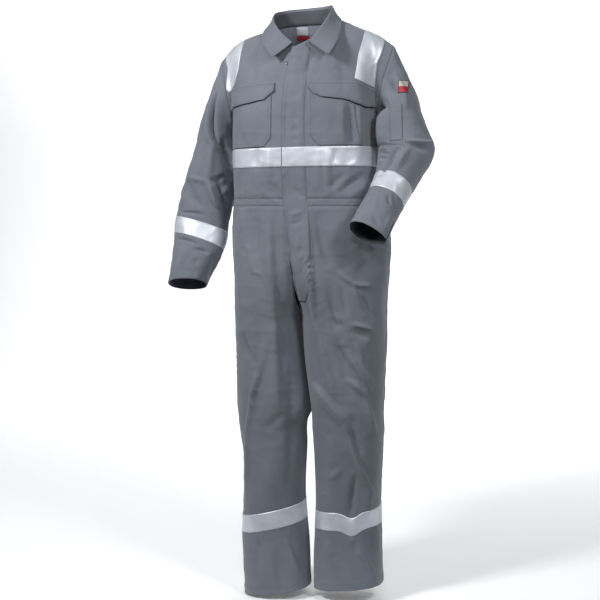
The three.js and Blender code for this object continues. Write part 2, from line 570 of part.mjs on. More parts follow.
// Columns leave the armhole, turn down over the cap and run on to the cuff.
function sleeveRows(side, table, capRows, ringAts) {
  const sign = side.sign;
  const edge = [];
  const fronts = range(ARMHOLE_ROWS, (t) => shoulderPoint(side, FRONT, 1, t));
  const backs = range(ARMHOLE_ROWS, (t) => shoulderPoint(side, BACK, 1, t));
  edge.push(...fronts, ...backs.slice(1, -1).reverse());
  const first = table[0];
  const way = V(first.dx, first.dy, first.dz).normalize();
  const count = edge.length;
  const columns = edge.map((p, i) => {
    const angle = (i / count) * 2 * Math.PI;
    const high = (1 + Math.cos(angle)) / 2;
    const side = Math.abs(Math.sin(angle));
    const leave = V(sign * (lerp(3, 20, high) + 14 * side), 0, lerp(-12, -42, high) + 8 * side);
    const foot = ringPoint(first, sign, angle);
    const arrive = foot.clone().addScaledVector(way, -lerp(14, 62, high));
    const curve = [p, p.clone().add(leave), arrive, foot];
    const cap = range(capRows, (t) => bezier(curve, t));
    const rest = ringAts.map((at) => ringPoint(along(table, at), sign, angle));
    return [...cap, ...rest];
  });
  const rows = columns[0].map((_, j) => columns.map((column) => column[j]));
  return sign < 0 ? rows : rows.map((row) => [row[0], ...row.slice(1).reverse()]);
}
const CAP_ROWS = 7;
const SLEEVE_AT_RIGHT = [0.06, 0.125, 0.19, 0.25, 0.31, 0.375, 0.44, 0.5, 0.554, 0.62, 0.689, 0.75,
  0.83, 0.915, 1];
const SLEEVE_AT_LEFT = [0.07, 0.14, 0.21, 0.28, 0.35, 0.42, 0.49, 0.555, 0.618, 0.69, 0.76, 0.82,
  0.88, 0.94, 1];
const TAPE_SLEEVE_ROWS = [CAP_ROWS + 9, CAP_ROWS + 11];

const plainSleeveRight = makeGrid(sleeveRows(RIGHT, SLEEVE_RIGHT, CAP_ROWS, SLEEVE_AT_RIGHT), true);
const plainSleeveLeft = makeGrid(sleeveRows(LEFT, SLEEVE_LEFT, CAP_ROWS, SLEEVE_AT_LEFT), true);

const plain = [plainFrontRight, plainFrontLeft, plainBack, plainBandRight, plainBandLeft,
  plainBandBack, plainLegs.frontRight, plainLegs.backRight, plainLegs.frontLeft,
  plainLegs.backLeft, plainSleeveRight, plainSleeveLeft];
shareNormals(plain);
const finished = weld(plain, [
  ...plain.slice(0, -2).map(creased),
  creasedSleeve(plainSleeveRight, FOLDS_RIGHT, -1),
  creasedSleeve(plainSleeveLeft, FOLDS_LEFT, 1),
]);
shareNormals(finished);
const [frontRight, frontLeft, upperBack, bandRight, bandLeft, bandBack, legFrontRight,
  legBackRight, legFrontLeft, legBackLeft, sleeveRight, sleeveLeft] = finished;

const COLLAR_COLS = 26;
const COLLAR_STEPS = [0, 0.36, 0.72, 1];
const STAND_SHARE = 0.96;
const LEAF_START = 0.1;

// The collar stands up from the neck seam and its leaf falls back from the fold.
function collarRows() {
  const sections = range(COLLAR_COLS, (t) => {
    const c = along(COLLAR, t);
    const seam = V(c.nx, c.ny, c.nz);
    const fold = V(c.kx, c.ky, c.kz);
    const edge = V(c.ex, c.ey, c.ez);
    const rise = fold.clone().sub(seam);
    const fall = edge.clone().sub(fold);
    const stand = COLLAR_STEPS.map((s) => seam.clone().addScaledVector(rise, s * STAND_SHARE));
    const leaf = COLLAR_STEPS.map((s) => fold.clone().addScaledVector(fall, lerp(LEAF_START, 1, s)));
    return [...leaf.reverse(), ...stand.reverse()];
  });
  return sections[0].map((_, j) => sections.map((s) => s[j]));
}

// Slit of the left cuff, on its outer side.
const SLIT = { turn: 0.16, long: 62, wide: 5, reach: 14 };
function cuffSlit() {
  const cuff = SLEEVE_LEFT[SLEEVE_LEFT.length - 1];
  const down = V(cuff.dx, cuff.dy, cuff.dz).normalize();
  const mouth = ringPoint(cuff, 1, SLIT.turn);
  const out = mouth.clone().sub(V(cuff.x, cuff.y, cuff.z));
  out.addScaledVector(down, -out.dot(down)).normalize();
  const half = SLIT.wide / 2;
  const outline = [[-SLIT.long, 0], [SLIT.reach, -half], [SLIT.reach, half]];
  const shape = new THREE.Shape(outline.map(([x, y]) => new THREE.Vector2(x, y)));
  const wedge = new THREE.ExtrudeGeometry(shape, { depth: 2 * SLIT.reach, bevelEnabled: false });
  wedge.translate(0, 0, -SLIT.reach);
  wedge.applyMatrix4(new THREE.Matrix4().makeBasis(down, out.clone().cross(down), out).setPosition(mouth));
  wedge.setIndex(Array.from({ length: wedge.attributes.position.count }, (_, i) => i));
  return toSolid(wedge);
}

const MATERIALS = {
  cloth: new THREE.MeshStandardMaterial({ color: 0x6c717b, roughness: 0.85, metalness: 0 }),
  tape: new THREE.MeshStandardMaterial({ color: 0xd4d9e0, roughness: 0.4, metalness: 0 }),
  patch: new THREE.MeshStandardMaterial({ color: 0x8a3034, roughness: 0.7, metalness: 0 }),
  label: new THREE.MeshStandardMaterial({ color: 0xb9bcc2, roughness: 0.7, metalness: 0 }),
  metal: new THREE.MeshStandardMaterial({ color: 0x4a4d52, roughness: 0.45, metalness: 1 }),
  red: new THREE.MeshStandardMaterial({ color: 0xb02a30, roughness: 0.7, metalness: 0 }),
};
const suit = new THREE.Group();
suit.name = 'boiler_suit';
function add(name, geometry, material) {
  const mesh = new THREE.Mesh(geometry, MATERIALS[material]);
  mesh.name = name;
  suit.add(mesh);
}

add('front_right', sheet(frontRight, -WALL, 0), 'cloth');
add('front_left', sheet(frontLeft, -WALL, 0), 'cloth');
add('back_upper', sheet(upperBack, -WALL, 0), 'cloth');
add('waistband_front_right', sheet(bandRight, -WALL, 0), 'cloth');
add('waistband_front_left', sheet(bandLeft, -WALL, 0), 'cloth');
add('waistband_back', sheet(bandBack, -WALL, 0), 'cloth');
add('leg_front_right', sheet(legFrontRight, -WALL, 0, LEG_SEAM), 'cloth');
add('leg_back_right', sheet(legBackRight, -WALL, 0, LEG_SEAM), 'cloth');
add('leg_front_left', sheet(legFrontLeft, -WALL, 0, LEG_SEAM), 'cloth');
add('leg_back_left', sheet(legBackLeft, -WALL, 0, LEG_SEAM), 'cloth');

// Each sleeve is a top and an under piece, joined behind the elbow and inside the front.
const SEAMS_RIGHT = { back: 14, front: 6 };
const SEAMS_LEFT = { back: 4, front: 12 };
const sleevePiece = (tube, from, to) => sheet(strip(tube, from, to), -WALL, 0, SLEEVE_SEAM, SEAM);
const topLeft = toSolid(sleevePiece(sleeveLeft, SEAMS_LEFT.front, SEAMS_LEFT.back));
add('sleeve_top_right', sleevePiece(sleeveRight, SEAMS_RIGHT.back, SEAMS_RIGHT.front), 'cloth');
add('sleeve_under_right', sleevePiece(sleeveRight, SEAMS_RIGHT.front, SEAMS_RIGHT.back), 'cloth');
add('sleeve_top_left', toGeometry(topLeft.subtract(cuffSlit())), 'cloth');
add('sleeve_under_left', sleevePiece(sleeveLeft, SEAMS_LEFT.back, SEAMS_LEFT.front), 'cloth');
add('collar', sheet(makeGrid(collarRows()), -0.8, 0.8, 0), 'cloth');

// Layers of what lies on the panels, as offsets from the cloth.
const onPanel = [GAP, GAP + TRIM_WALL];
const onPocket = [2 * GAP + TRIM_WALL, 2 * (GAP + TRIM_WALL)];
const tapeOnPanel = [GAP, GAP + TAPE_WALL];
const tapeOnPlacket = [onPocket[0], onPocket[0] + TAPE_WALL];
const CHEST_ROWS = [ARMHOLE_ROWS + 2, ARMHOLE_ROWS + 3];
const FRONT_DEPTHS = [-240, -2];
const BACK_DEPTHS = [2, 240];

const wholeFront = beside(frontRight, frontLeft);
const LAST_RISE = RISE_ZS.length - 1;
const topOfLegs = beside(part(legFrontRight, 0, LAST_RISE), part(legFrontLeft, 0, LAST_RISE));
const frontStrip = below(wholeFront, beside(bandRight, bandLeft), topOfLegs);
const PLACKET_COLS = [HALF_COLS - 4, HALF_COLS + 4];
const placketStrip = part(frontStrip, 0, frontStrip.rows.length - 1, ...PLACKET_COLS);

// Fly placket: its free edge on the wearer's right and its stitched edge, by height.
const PLACKET = [
  { z: -79, free: -6, sewn: 40 },
  { z: -123, free: -14, sewn: 37 },
  { z: -171, free: -22, sewn: 34 },
  { z: -255, free: -27, sewn: 32 },
  { z: -338, free: -28, sewn: 33 },
  { z: -402, free: -27, sewn: 34 },
  { z: -482, free: -25, sewn: 38 },
  { z: -560, free: -15, sewn: 46 },
  { z: -640, free: -7, sewn: 49 },
  { z: -705, free: 0, sewn: 44 },
  { z: -742, free: 8, sewn: 30 },
];
const freeEdge = PLACKET.map((r) => [r.free, r.z]);
const sewnEdge = PLACKET.map((r) => [r.sewn, r.z]);
const placketPrism = prism([...freeEdge, ...sewnEdge.reverse()], ...FRONT_DEPTHS);
add('placket', toGeometry(cutSheet(placketStrip, ...onPanel, placketPrism)), 'cloth');

// A press stud shows beside the free edge near the neck.
const STUD = { x: -21.5, z: -121, radius: 4.5, sides: 20, wall: 1.2 };
const disc = Array.from({ length: STUD.sides }, (_, i) => {
  const a = (i / STUD.sides) * 2 * Math.PI;
  return [STUD.x + STUD.radius * Math.cos(a), STUD.z + STUD.radius * Math.sin(a)];
});
const studPrism = prism(disc, ...FRONT_DEPTHS);
add('placket_stud', toGeometry(cutSheet(wholeFront, GAP, GAP + STUD.wall, studPrism)), 'metal');

const POCKET_RIGHT = [[-57, -186], [-58, -313], [-77, -337], [-178, -339], [-176, -250], [-168, -190]];
const POCKET_LEFT = [[47, -180], [47, -311], [68, -335], [176, -332.5], [163, -290], [150, -196]];
const FLAP_RIGHT = [[-50, -171], [-51, -194], [-77, -216], [-132, -225], [-164, -230], [-175, -236],
  [-186, -196], [-156, -175]];
const FLAP_LEFT = [[50, -171], [42, -186], [55, -202], [73, -210], [141, -218], [178, -234], [198, -228],
  [200, -188], [157, -169]];
const frontCut = (outline, layer) => {
  const cutter = prism(outline, ...FRONT_DEPTHS);
  return toGeometry(cutSheet(wholeFront, ...layer, cutter));
};
add('chest_pocket_right', frontCut(POCKET_RIGHT, onPanel), 'cloth');
add('chest_pocket_left', frontCut(POCKET_LEFT, onPanel), 'cloth');
add('pocket_flap_right', frontCut(FLAP_RIGHT, onPocket), 'cloth');
add('pocket_flap_left', frontCut(FLAP_LEFT, onPocket), 'cloth');

// Shoulder tapes run over the shoulder seam, from the flap to the chest tape at the back.
const TAPE_SHOULDER = {
  right: {
    front: [[-154, 10], [-156, -80], [-168, -156], [-172, -169], [-196, -187], [-204, -176],
      [-201, -120], [-208, -75], [-211, 10]],
    back: [[-154, 10], [-150, -120], [-130, -335], [-174, -335], [-186, -200], [-199, -105],
      [-211, -60], [-211, 10]],
  },
  left: {
    front: [[172, 20], [167, -60], [161, -100], [154, -160], [199, -181], [207, -110], [217, -60],
      [222, 20]],
    back: [[172, 20], [165, -120], [138, -333], [183, -333], [196, -200], [211, -100], [222, -50],
      [222, 20]],
  },
};
const SHOULDER_FRONT_ROWS = 7;
const TAPE_LAP = 0.5;
function shoulderTape(side) {
  const right = side.sign < 0;
  const span = HALF_COLS - NECK_COLS;
  const front = right ? part(frontRight, 0, SHOULDER_FRONT_ROWS, 0, span)
    : part(frontLeft, 0, SHOULDER_FRONT_ROWS, NECK_COLS, HALF_COLS);
  const back = right ? part(upperBack, 0, CHEST_ROWS[0], 2 * HALF_COLS - span, 2 * HALF_COLS)
    : part(upperBack, 0, CHEST_ROWS[0], 0, span);
  const flip = (table) => table.map((row) => [...row].reverse()).reverse();
  const overShoulder = below({ rows: flip(back.rows), normals: flip(back.normals) }, front);
  const outlines = TAPE_SHOULDER[side.key];
  const cutter = prism(outlines.front, FRONT_DEPTHS[0], TAPE_LAP)
    .add(prism(outlines.back, -TAPE_LAP, BACK_DEPTHS[1]));
  return toGeometry(cutSheet(overShoulder, ...tapeOnPanel, cutter));
}
add('shoulder_tape_right', shoulderTape(RIGHT), 'tape');
add('shoulder_tape_left', shoulderTape(LEFT), 'tape');

// The chest tape steps up onto the placket at its sewn edge.
const chestFront = part(wholeFront, ...CHEST_ROWS);
const TAPE_REACH = { high: -300, low: -430, side: 260 };
function acrossFront(x0, x1) {
  const { high, low } = TAPE_REACH;
  return prism([[x0, high], [x0, low], [x1, low], [x1, high]], ...FRONT_DEPTHS);
}
const placketAtTape = PLACKET[4];
const TAPE_STEP = { end: 0.5, inner: 1.2, outer: 3, gap: 1 };
const tapeEnd = placketAtTape.free + TAPE_STEP.end;
const stepIn = placketAtTape.sewn + TAPE_STEP.inner;
const stepOut = placketAtTape.sewn + TAPE_STEP.outer;
const chestLeft = cutSheet(chestFront, ...tapeOnPlacket, acrossFront(tapeEnd, stepOut))
  .add(cutSheet(chestFront, tapeOnPanel[0], tapeOnPlacket[1], acrossFront(stepIn, stepOut)))
  .add(cutSheet(chestFront, ...tapeOnPanel, acrossFront(stepIn, TAPE_REACH.side)));
const beyondPlacket = acrossFront(-TAPE_REACH.side, placketAtTape.free - TAPE_STEP.gap);
const chestRight = cutSheet(chestFront, ...tapeOnPanel, beyondPlacket);
add('chest_tape_front_left', toGeometry(chestLeft), 'tape');
add('chest_tape_front_right', toGeometry(chestRight), 'tape');
add('chest_tape_back', sheet(part(upperBack, ...CHEST_ROWS), ...tapeOnPanel), 'tape');

// Bands round the sleeves and the legs.
add('sleeve_tape_right', sheet(part(sleeveRight, ...TAPE_SLEEVE_ROWS), ...tapeOnPanel, 0), 'tape');
add('sleeve_tape_left', sheet(part(sleeveLeft, ...TAPE_SLEEVE_ROWS), ...tapeOnPanel, 0), 'tape');
function legTape(front, back) {
  const ring = around(part(front, ...TAPE_LEG_ROWS), part(back, ...TAPE_LEG_ROWS));
  return sheet(ring, ...tapeOnPanel, 0);
}
add('leg_tape_right', legTape(legFrontRight, legBackRight), 'tape');
add('leg_tape_left', legTape(legFrontLeft, legBackLeft), 'tape');

// Pen pocket and patch on the left sleeve, neck label inside the back.
const PEN_POCKET = [[242, -228], [274, -226], [279, -320], [246, -322]];
const BADGE = [[263, -163], [288, -163], [288, -197], [263, -197]];
const SLEEVE_DEPTHS = [-110, -24];
function sleeveCut(outline, layer) {
  return toGeometry(cutSheet(sleeveLeft, ...layer, prism(outline, ...SLEEVE_DEPTHS)));
}
add('pen_pocket', sleeveCut(PEN_POCKET, onPanel), 'cloth');
add('sleeve_patch', sleeveCut(BADGE, [GAP, GAP + PATCH_WALL]), 'patch');
const inside = [-WALL - GAP - PATCH_WALL, -WALL - GAP];
const LABEL = { right: -29, left: 4, top: -4, band: -26, low: -39 };
function labelCut(top, low) {
  const outline = [[LABEL.right, top], [LABEL.right, low], [LABEL.left, low], [LABEL.left, top]];
  return toGeometry(cutSheet(upperBack, ...inside, prism(outline, ...BACK_DEPTHS)));
}
add('neck_label', labelCut(LABEL.top, LABEL.band), 'label');
add('neck_label_band', labelCut(LABEL.band - GAP, LABEL.low), 'red');

export default suit;
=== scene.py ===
"""Work boiler suit in grey twill with silver tape, worn pose with no wearer."""

import math

import bpy
import numpy as np
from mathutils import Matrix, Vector
from mathutils.bvhtree import BVHTree


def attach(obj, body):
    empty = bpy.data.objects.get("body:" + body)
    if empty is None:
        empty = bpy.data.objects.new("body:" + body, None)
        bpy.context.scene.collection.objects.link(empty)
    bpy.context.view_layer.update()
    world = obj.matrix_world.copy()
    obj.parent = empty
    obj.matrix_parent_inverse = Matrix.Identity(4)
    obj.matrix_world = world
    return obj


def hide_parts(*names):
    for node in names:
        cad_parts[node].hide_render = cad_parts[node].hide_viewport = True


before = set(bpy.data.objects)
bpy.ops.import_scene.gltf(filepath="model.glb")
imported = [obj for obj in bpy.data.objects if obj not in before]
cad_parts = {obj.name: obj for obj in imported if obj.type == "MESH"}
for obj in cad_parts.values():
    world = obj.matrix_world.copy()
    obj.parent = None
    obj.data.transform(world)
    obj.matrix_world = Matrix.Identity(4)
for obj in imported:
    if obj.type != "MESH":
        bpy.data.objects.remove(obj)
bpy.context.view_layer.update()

# All garment sizes are millimetres, +Z up, the front faces -Y and the wearer's left is +X.
MM = 0.001
CLOTH = 0.9  # twill with its weave
TRIM = 1.5  # turned double twill
TAPE = 0.7  # reflective tape
PATCH = 0.9
LIFT = 0.3  # air under what is sewn on
ON = 0.12  # thread above its cloth
HEM_THICK = 0.8
FLAP_FALL = 3.4  # how far a flap's low edge stands off its pocket
SQUARE = 2.4  # how square the body sections are, 2 is an ellipse
TUBE_SQUARE = 2.1
UNDERARM_Z = -285
WAIST_TOP_Z = -471
WAIST_LOW_Z = -491
HIP_Z = -560
CROTCH_Z = -790
SIDE_Y = 6
NECK_SHARE = 0.4  # share of an upper panel's top edge that is neckline
NARROWEST = 5.2  # no fold's side is narrower than this
SLEEVE_GAIN = 1.6  # how much deeper than drawn the folds of the sleeves are
HALF_COLLAR = 0.8  # half the collar's thickness
STAND_ROW = 30  # first row of the collar that is its stand
LEAF_ROWS = 22
REST_GAP = 2.2  # from the collar's leaf to the cloth under it
PATCH_WIDE, PATCH_TALL, PATCH_EDGE = 25, 34, 1.6


# Tables
def table(columns, text):
    """Named columns of a table written one row to a line; lines with # are comments."""
    rows = [line.split() for line in text.strip().split("\n") if line[0] != "#"]
    return dict(zip(columns.split(), np.array(rows, float).T))


BODY = table("z mid right left front back tilt", """
-285 0 195 203 137 122 0.04
-340 1 194 201 138 122 0.02
-400 1 194 208 134 120 0.01
-480 1 193 223 127 116 0
-560 1 193 237 129 124 0
-630 1 189 237 130 132 0
-700 1 184 232 126 130 0
-790 1 183 229 114 116 0
""")
LEG_RIGHT = table("z outer front back tilt", """
-790 -182 114 116 0
-900 -181 104 104 0.02
-1040 -176 97 95 0.06
-1160 -163 90 88 0.16
-1300 -163 84 82 0.25
-1440 -165 80 76 0.2
-1549 -161 76 72 0.15
""")
LEG_LEFT = table("z outer front back tilt", """
-790 230 114 116 0
-900 228 108 104 0.02
-1040 223 102 95 0.05
-1160 223 94 88 0.08
-1300 218 86 82 0.09
-1440 223 80 76 0.1
-1527 227 76 72 0.11
""")
SLEEVE_RIGHT = table("x y z across deep dx dy dz", """
-250 12 -326 47 63 -0.16 0 -0.99
-257 14 -370 54 65 -0.15 0.02 -0.99
-266 14 -414 62 64 -0.12 0 -0.99
-276 12 -480 70 62 -0.16 -0.1 -0.98
-280 4 -524 74 60 -0.24 -0.2 -0.95
-284 -8 -568 76 57 -0.28 -0.26 -0.93
-290 -22 -611 69 55 -0.26 -0.3 -0.92
-299 -38 -654 60 53 -0.1 -0.33 -0.93
-310 -55 -703 53 52 0.04 -0.35 -0.93
""")
SLEEVE_LEFT = table("x y z across deep dx dy dz", """
268 2 -250 52 66 0.26 -0.06 -0.96
274 -4 -300 64 68 0.16 -0.14 -0.97
281 -16 -345 75 68 0 -0.3 -0.94
270 -40 -386 64 65 -0.24 -0.5 -0.82
259 -74 -424 55 60 -0.36 -0.56 -0.74
244 -108 -462 51 55 -0.4 -0.56 -0.73
227 -144 -503 51 52 -0.4 -0.54 -0.74
204 -194 -562 53 49 -0.4 -0.52 -0.75
""")

# The sleeves' folds are placed by rows: seven over the cap, then one at each share below.
CAP_STEPS = 7
CAP_ROWS, LOWER_ROWS = 40, 100
SHARES_RIGHT = [0.06, 0.125, 0.19, 0.25, 0.31, 0.375, 0.44, 0.5, 0.554, 0.62, 0.689, 0.75, 0.83, 0.915, 1]
SHARES_LEFT = [0.07, 0.14, 0.21, 0.28, 0.35, 0.42, 0.49, 0.555, 0.618, 0.69, 0.76, 0.82, 0.88, 0.94, 1]
SLEEVE_ROUND = 420
SLEEVE_LONG = 640

COLLAR = table("nx ny nz kx ky kz ex ey ez", """
-3 -110 -74 -5 -117 -68 -54 -133 -107
-34 -97 -55 -38 -100 -38 -76 -113 -82
-64 -66 -30 -63 -62 -6 -93 -70 -58
-84 -10 -12 -74 -4 25 -99 -14 -18
-58 45 5 -52 52 42 -72 62 4
5 69 12 5 76 50 5 92 8
64 45 14 58 52 51 76 62 12
93 -10 10 81 -4 41 107 -14 2
84 -66 -20 79 -62 6 112 -72 -44
62 -98 -50 61 -99 -34 107 -114 -76
40 -112 -71 40 -118 -66 94 -136 -104
""")

FOLD = "x0 z0 x1 z1 bow wide deep lean"
# Folds in the front view, then in the same view of the back. Deep stands out of the cloth, or in where
# negative; a lean of 1 makes the fold steep on its right in the front view, -1 on its left.

FOLDS_FRONT = table(FOLD, """
# Chest.
55 -90 31 -155 3 9 -4 1
-40 -110 -62 -165 -4 14 3 0
-120 -90 -108 -165 4 16 -3 0
-7 -198 10 -214 0 4 -2 0
1 -250 11 -272 1 4 -2.4 1
0 -285 12 -298 1 4 -2.4 -1
1 -312 11 -325 0 4 -2 0
-14 -225 -16 -330 1 5 -1.6 0
22 -190 20 -330 -1 6 1.6 0
143 -222 155 -330 4 9 -6 -1
126 -215 132 -335 3 12 3.5 1
184 -196 183 -350 -3 9 -8 0
168 -235 170 -330 2 7 4 1
-192 -232 -178 -300 3 8 -4 0
-130 -232 -120 -330 4 16 3 1
90 -345 92 -480 0 12 3.5 1
66 -340 70 -455 1 9 3.5 1
110 -340 114 -380 1 7 -3 0
-100 -335 -104 -400 1 12 -3 0
-62 -335 -64 -440 -1 10 3 1
133 -405 84 -446 -3 8 -3.5 0
191 -398 120 -456 4 10 -5 -1
196 -430 140 -474 3 8 3.5 0
-150 -395 -156 -500 3 15 -4 0
-72 -424 -26 -470 -3 5 -2.2 1
-60 -446 -24 -488 -2 5 -2.4 1
-84 -446 -40 -484 3 6 2 0
-30 -420 -30 -476 1 5 2 0
1 -440 30 -470 2 5 -2.4 1
44 -430 34 -480 1 5 -2 0
# Fly and hips.
-158 -488 -178 -560 2 8 -5 1
-138 -494 -150 -560 -2 8 3 0
-66 -494 -54 -880 -4 17 9 1
-54 -800 -48 -1090 2 24 7 1
-25 -490 2 -800 -3 12 -7 -1
-10 -514 30 -499 2 5 2.5 0
-12 -540 26 -524 3 5 -2 0
-13 -620 8 -684 3 5 -3 1
14 -560 24 -640 3 6 2 0
16 -645 24 -692 -2 4 -2.6 1
40 -650 46 -690 2 4 3 0
39 -486 60 -840 3 9 7 1
58 -800 110 -1010 -2 11 8 1
64 -505 92 -650 4 17 -8 -1
92 -680 150 -1000 5 14 -7 -1
-128 -590 -114 -666 -4 8 3 1
-116 -662 -80 -672 -2 6 2.4 1
-100 -520 -98 -640 3 12 -3 0
112 -775 128 -797 0 4.5 4 1
114 -804 140 -878 4 7 6 1
136 -866 198 -984 -5 8 7.5 1
119 -657 166 -696 4 6 5 1
157 -693 204 -699 2 5.5 5 -1
154 -797 206 -819 -2 5 5.5 -1
150 -812 196 -838 2 8 -4 0
154 -690 184 -756 3 7 3.5 1
163 -840 208 -970 5 7 5.5 1
128 -700 146 -780 3 8 -4 1
178 -725 206 -790 -2 8 -4 0
184 -590 216 -640 3 10 3 0
# Right leg.
-80 -835 -128 -1012 -7 8 6.5 -1
-140 -826 -106 -915 4 14 -5 1
-110 -930 -143 -1110 -5 8 6.5 -1
-139 -1090 -152 -1290 -3 8 5.5 -1
-76 -1120 -66 -1310 3 26 5 0
-14 -930 -18 -1250 -3 15 -5 0
-28 -1390 10 -1510 4 11 5.5 1
-111 -1390 -94 -1425 2 8 -3.5 1
-120 -1400 -112 -1520 -3 15 -4 0
-70 -1400 -58 -1530 3 20 4 1
-84 -1090 -36 -1040 3 11 -3.5 0
# Left leg.
44 -960 148 -1088 -7 11 9 1
136 -1066 212 -1278 6 11 9 1
150 -1040 172 -1150 4 12 -6 0
138 -944 190 -994 -4 9 6 1
186 -980 222 -1128 4 9 6 1
84 -1222 132 -1178 3 8 3 0
96 -1090 108 -1300 3 20 4 0
164 -1205 148 -1335 3 11 -8 1
190 -1240 196 -1330 3 12 5 0
146 -1372 216 -1508 -6 9 7 1
156 -1384 168 -1420 2 7 -5 0
199 -1345 212 -1428 3 11 -5 0
52 -1384 68 -1428 -3 9 -4 0
86 -1390 92 -1500 4 18 4 0
205 -215 203 -360 0 30 7 0
""")
FOLDS_BACK = table(FOLD, """
-64 -760 -96 -1080 0 18 8 -1
100 -750 136 -1090 0 18 8 1
-150 -1070 -20 -1120 -8 12 -6 1
-140 -1020 -40 -1080 -6 11 5 1
60 -1130 200 -1080 -8 12 -6 1
70 -1180 190 -1135 6 10 5 0
-130 -1190 -30 -1160 6 12 -5 0
-80 -1200 -70 -1500 0 18 6 1
120 -1190 140 -1500 0 18 6 -1
-130 -1250 -120 -1520 4 12 -4 0
190 -1200 196 -1500 -4 12 -4 0
-20 -730 -120 -660 6 11 -6 1
24 -725 140 -650 -6 11 -6 -1
-30 -770 -130 -740 6 9 5 0
40 -775 150 -730 -6 9 5 0
-112 -210 -60 -450 6 15 7 1
120 -200 72 -455 -6 15 7 -1
-150 -250 -110 -470 5 13 -6 1
168 -240 116 -470 -5 13 -6 -1
-20 -330 -24 -480 0 11 -4 1
40 -350 34 -480 0 11 -4 -1
-60 -430 -62 -490 0 7 3 0
84 -424 86 -490 0 7 3 0
-104 -494 -116 -640 0 11 -4 1
130 -494 146 -650 0 11 -4 0
-30 -494 -36 -620 0 13 4 0
50 -494 58 -620 0 13 4 0
205 -215 203 -360 0 30 7 0
-84 -60 -96 -190 5 13 -4 1
96 -50 112 -190 -5 13 -4 -1
""")
# Folds on the sleeves, by the way round from the outer line forwards and the way down.
FOLDS_RIGHT = table(FOLD, """
60 30 160 200 -8 12 -9 -1
158 150 196 345 5 12 -10 -1
40 60 140 225 -8 14 6 1
118 180 124 330 -4 14 6 1
198 80 206 330 4 26 9 0
230 120 214 420 -6 20 8 0
119 326 156 398 -2 7.5 9 1
144 322 182 388 3 9 -9 0
204 308 156 368 3 6 5 0
170 300 122 332 4 8 -5 0
34 328 120 330 3 7 5 -1
56 324 112 404 -3 9 -5 0
20 350 60 400 3 9 3 0
50 450 124 432 3 6 -5 0
46 548 118 548 4 6 -5 -1
106 566 150 566 4 5 -5 0
120 590 134 606 1 5 -3 0
168 556 232 636 3 11 -4 0
90 560 70 634 2 14 4 1
330 330 250 360 8 11 -7 1
340 400 260 380 -8 11 -6 0
350 365 270 372 4 9 5 0
400 60 380 300 6 16 5 1
330 60 300 260 -5 14 -5 0
300 440 320 600 4 14 4 0
""")
FOLDS_LEFT = table(FOLD, """
150 20 148 130 3 9 -9 0
80 30 92 110 3 7 -7 1
116 50 122 170 -3 9 6 1
60 40 78 200 -4 14 5 1
14 26 18 72 2 6 -3 0
160 130 166 330 -6 24 15 0
205 90 205 300 4 26 9 0
108 322 14 308 3 7 7 -1
96 338 20 332 4 9 -5 0
103 338 162 490 4 11 -11 -1
88 340 112 470 3 10 6 1
182 318 106 342 4 6 -6 -1
176 330 122 350 3 6 4 0
182 372 132 394 3 6 -5 0
188 392 146 414 3 6 -5 0
186 346 140 366 3 7 4 0
100 544 78 566 2 5 -4 1
112 612 78 626 2 5 -3.5 1
84 536 42 566 2 5 -3.5 1
130 560 112 600 3 7 3 0
50 580 60 630 2 8 3 0
330 250 230 262 6 12 -7 1
340 300 250 292 -6 12 -6 0
350 276 260 276 3 9 5 0
390 60 370 230 5 14 5 1
320 60 300 220 -5 14 -5 0
310 400 330 560 4 14 4 0
""")

# Where the insides of the legs touch above the knee and part below it.

INSEAM_RIGHT = table("z inner", """
-790 1
-900 8.2
-1000 21.6
-1048 27.2
-1090 12
-1160 11.5
-1300 7
-1440 19
-1549 23
""")
INSEAM_LEFT = table("z inner", """
-790 1
-900 9.8
-1000 23.4
-1048 29
-1090 31
-1160 36
-1300 40
-1440 34
-1527 35
""")
PLACKET = table("z free sewn", """
-79 -6 40
-123 -14 37
-171 -22 34
-255 -27 32
-338 -28 33
-402 -27 34
-482 -25 38
-560 -15 46
-640 -7 49
-705 0 44
-742 8 30
""")

RIGHT = dict(name="right", sign=-1, neck=(-93, -20), tip=(-222, -98), bow=16, legs=LEG_RIGHT, inseam=INSEAM_RIGHT)
LEFT = dict(name="left", sign=1, neck=(103, 4), tip=(247, -68), bow=8, legs=LEG_LEFT, inseam=INSEAM_LEFT)
FRONT = dict(name="front", face=-1, neckY=-109, neckZ=-77, scoopY=-92, armY=-44)
BACK = dict(name="back", face=1, neckY=66, neckZ=8, scoopY=46, armY=50)
HEM_TALL = 22
CUFF_TALL = 18
SLIT = dict(turn=0.075, long=60, spread=2.6)
SAG = dict(x=150, z=-1330, wide=24, tall=90, drop=19)


# Small maths
def lerp(a, b, t):
    return a + (b - a) * t


def ease(a, b, x):
    t = np.clip((np.asarray(x, float) - a) / (b - a), 0, 1)
    return t * t * (3 - 2 * t)


def power(x, n):
    return np.sign(x) * np.abs(x) ** (2 / n)


def point(x, y, z):
    return np.stack(np.broadcast_arrays(x, y, z), axis=-1).astype(float)


def bezier(a, b, c, d, t):
    t = np.asarray(t, float)[..., None]
    s = 1 - t
    return a * s**3 + 3 * b * s * s * t + 3 * c * s * t * t + d * t**3


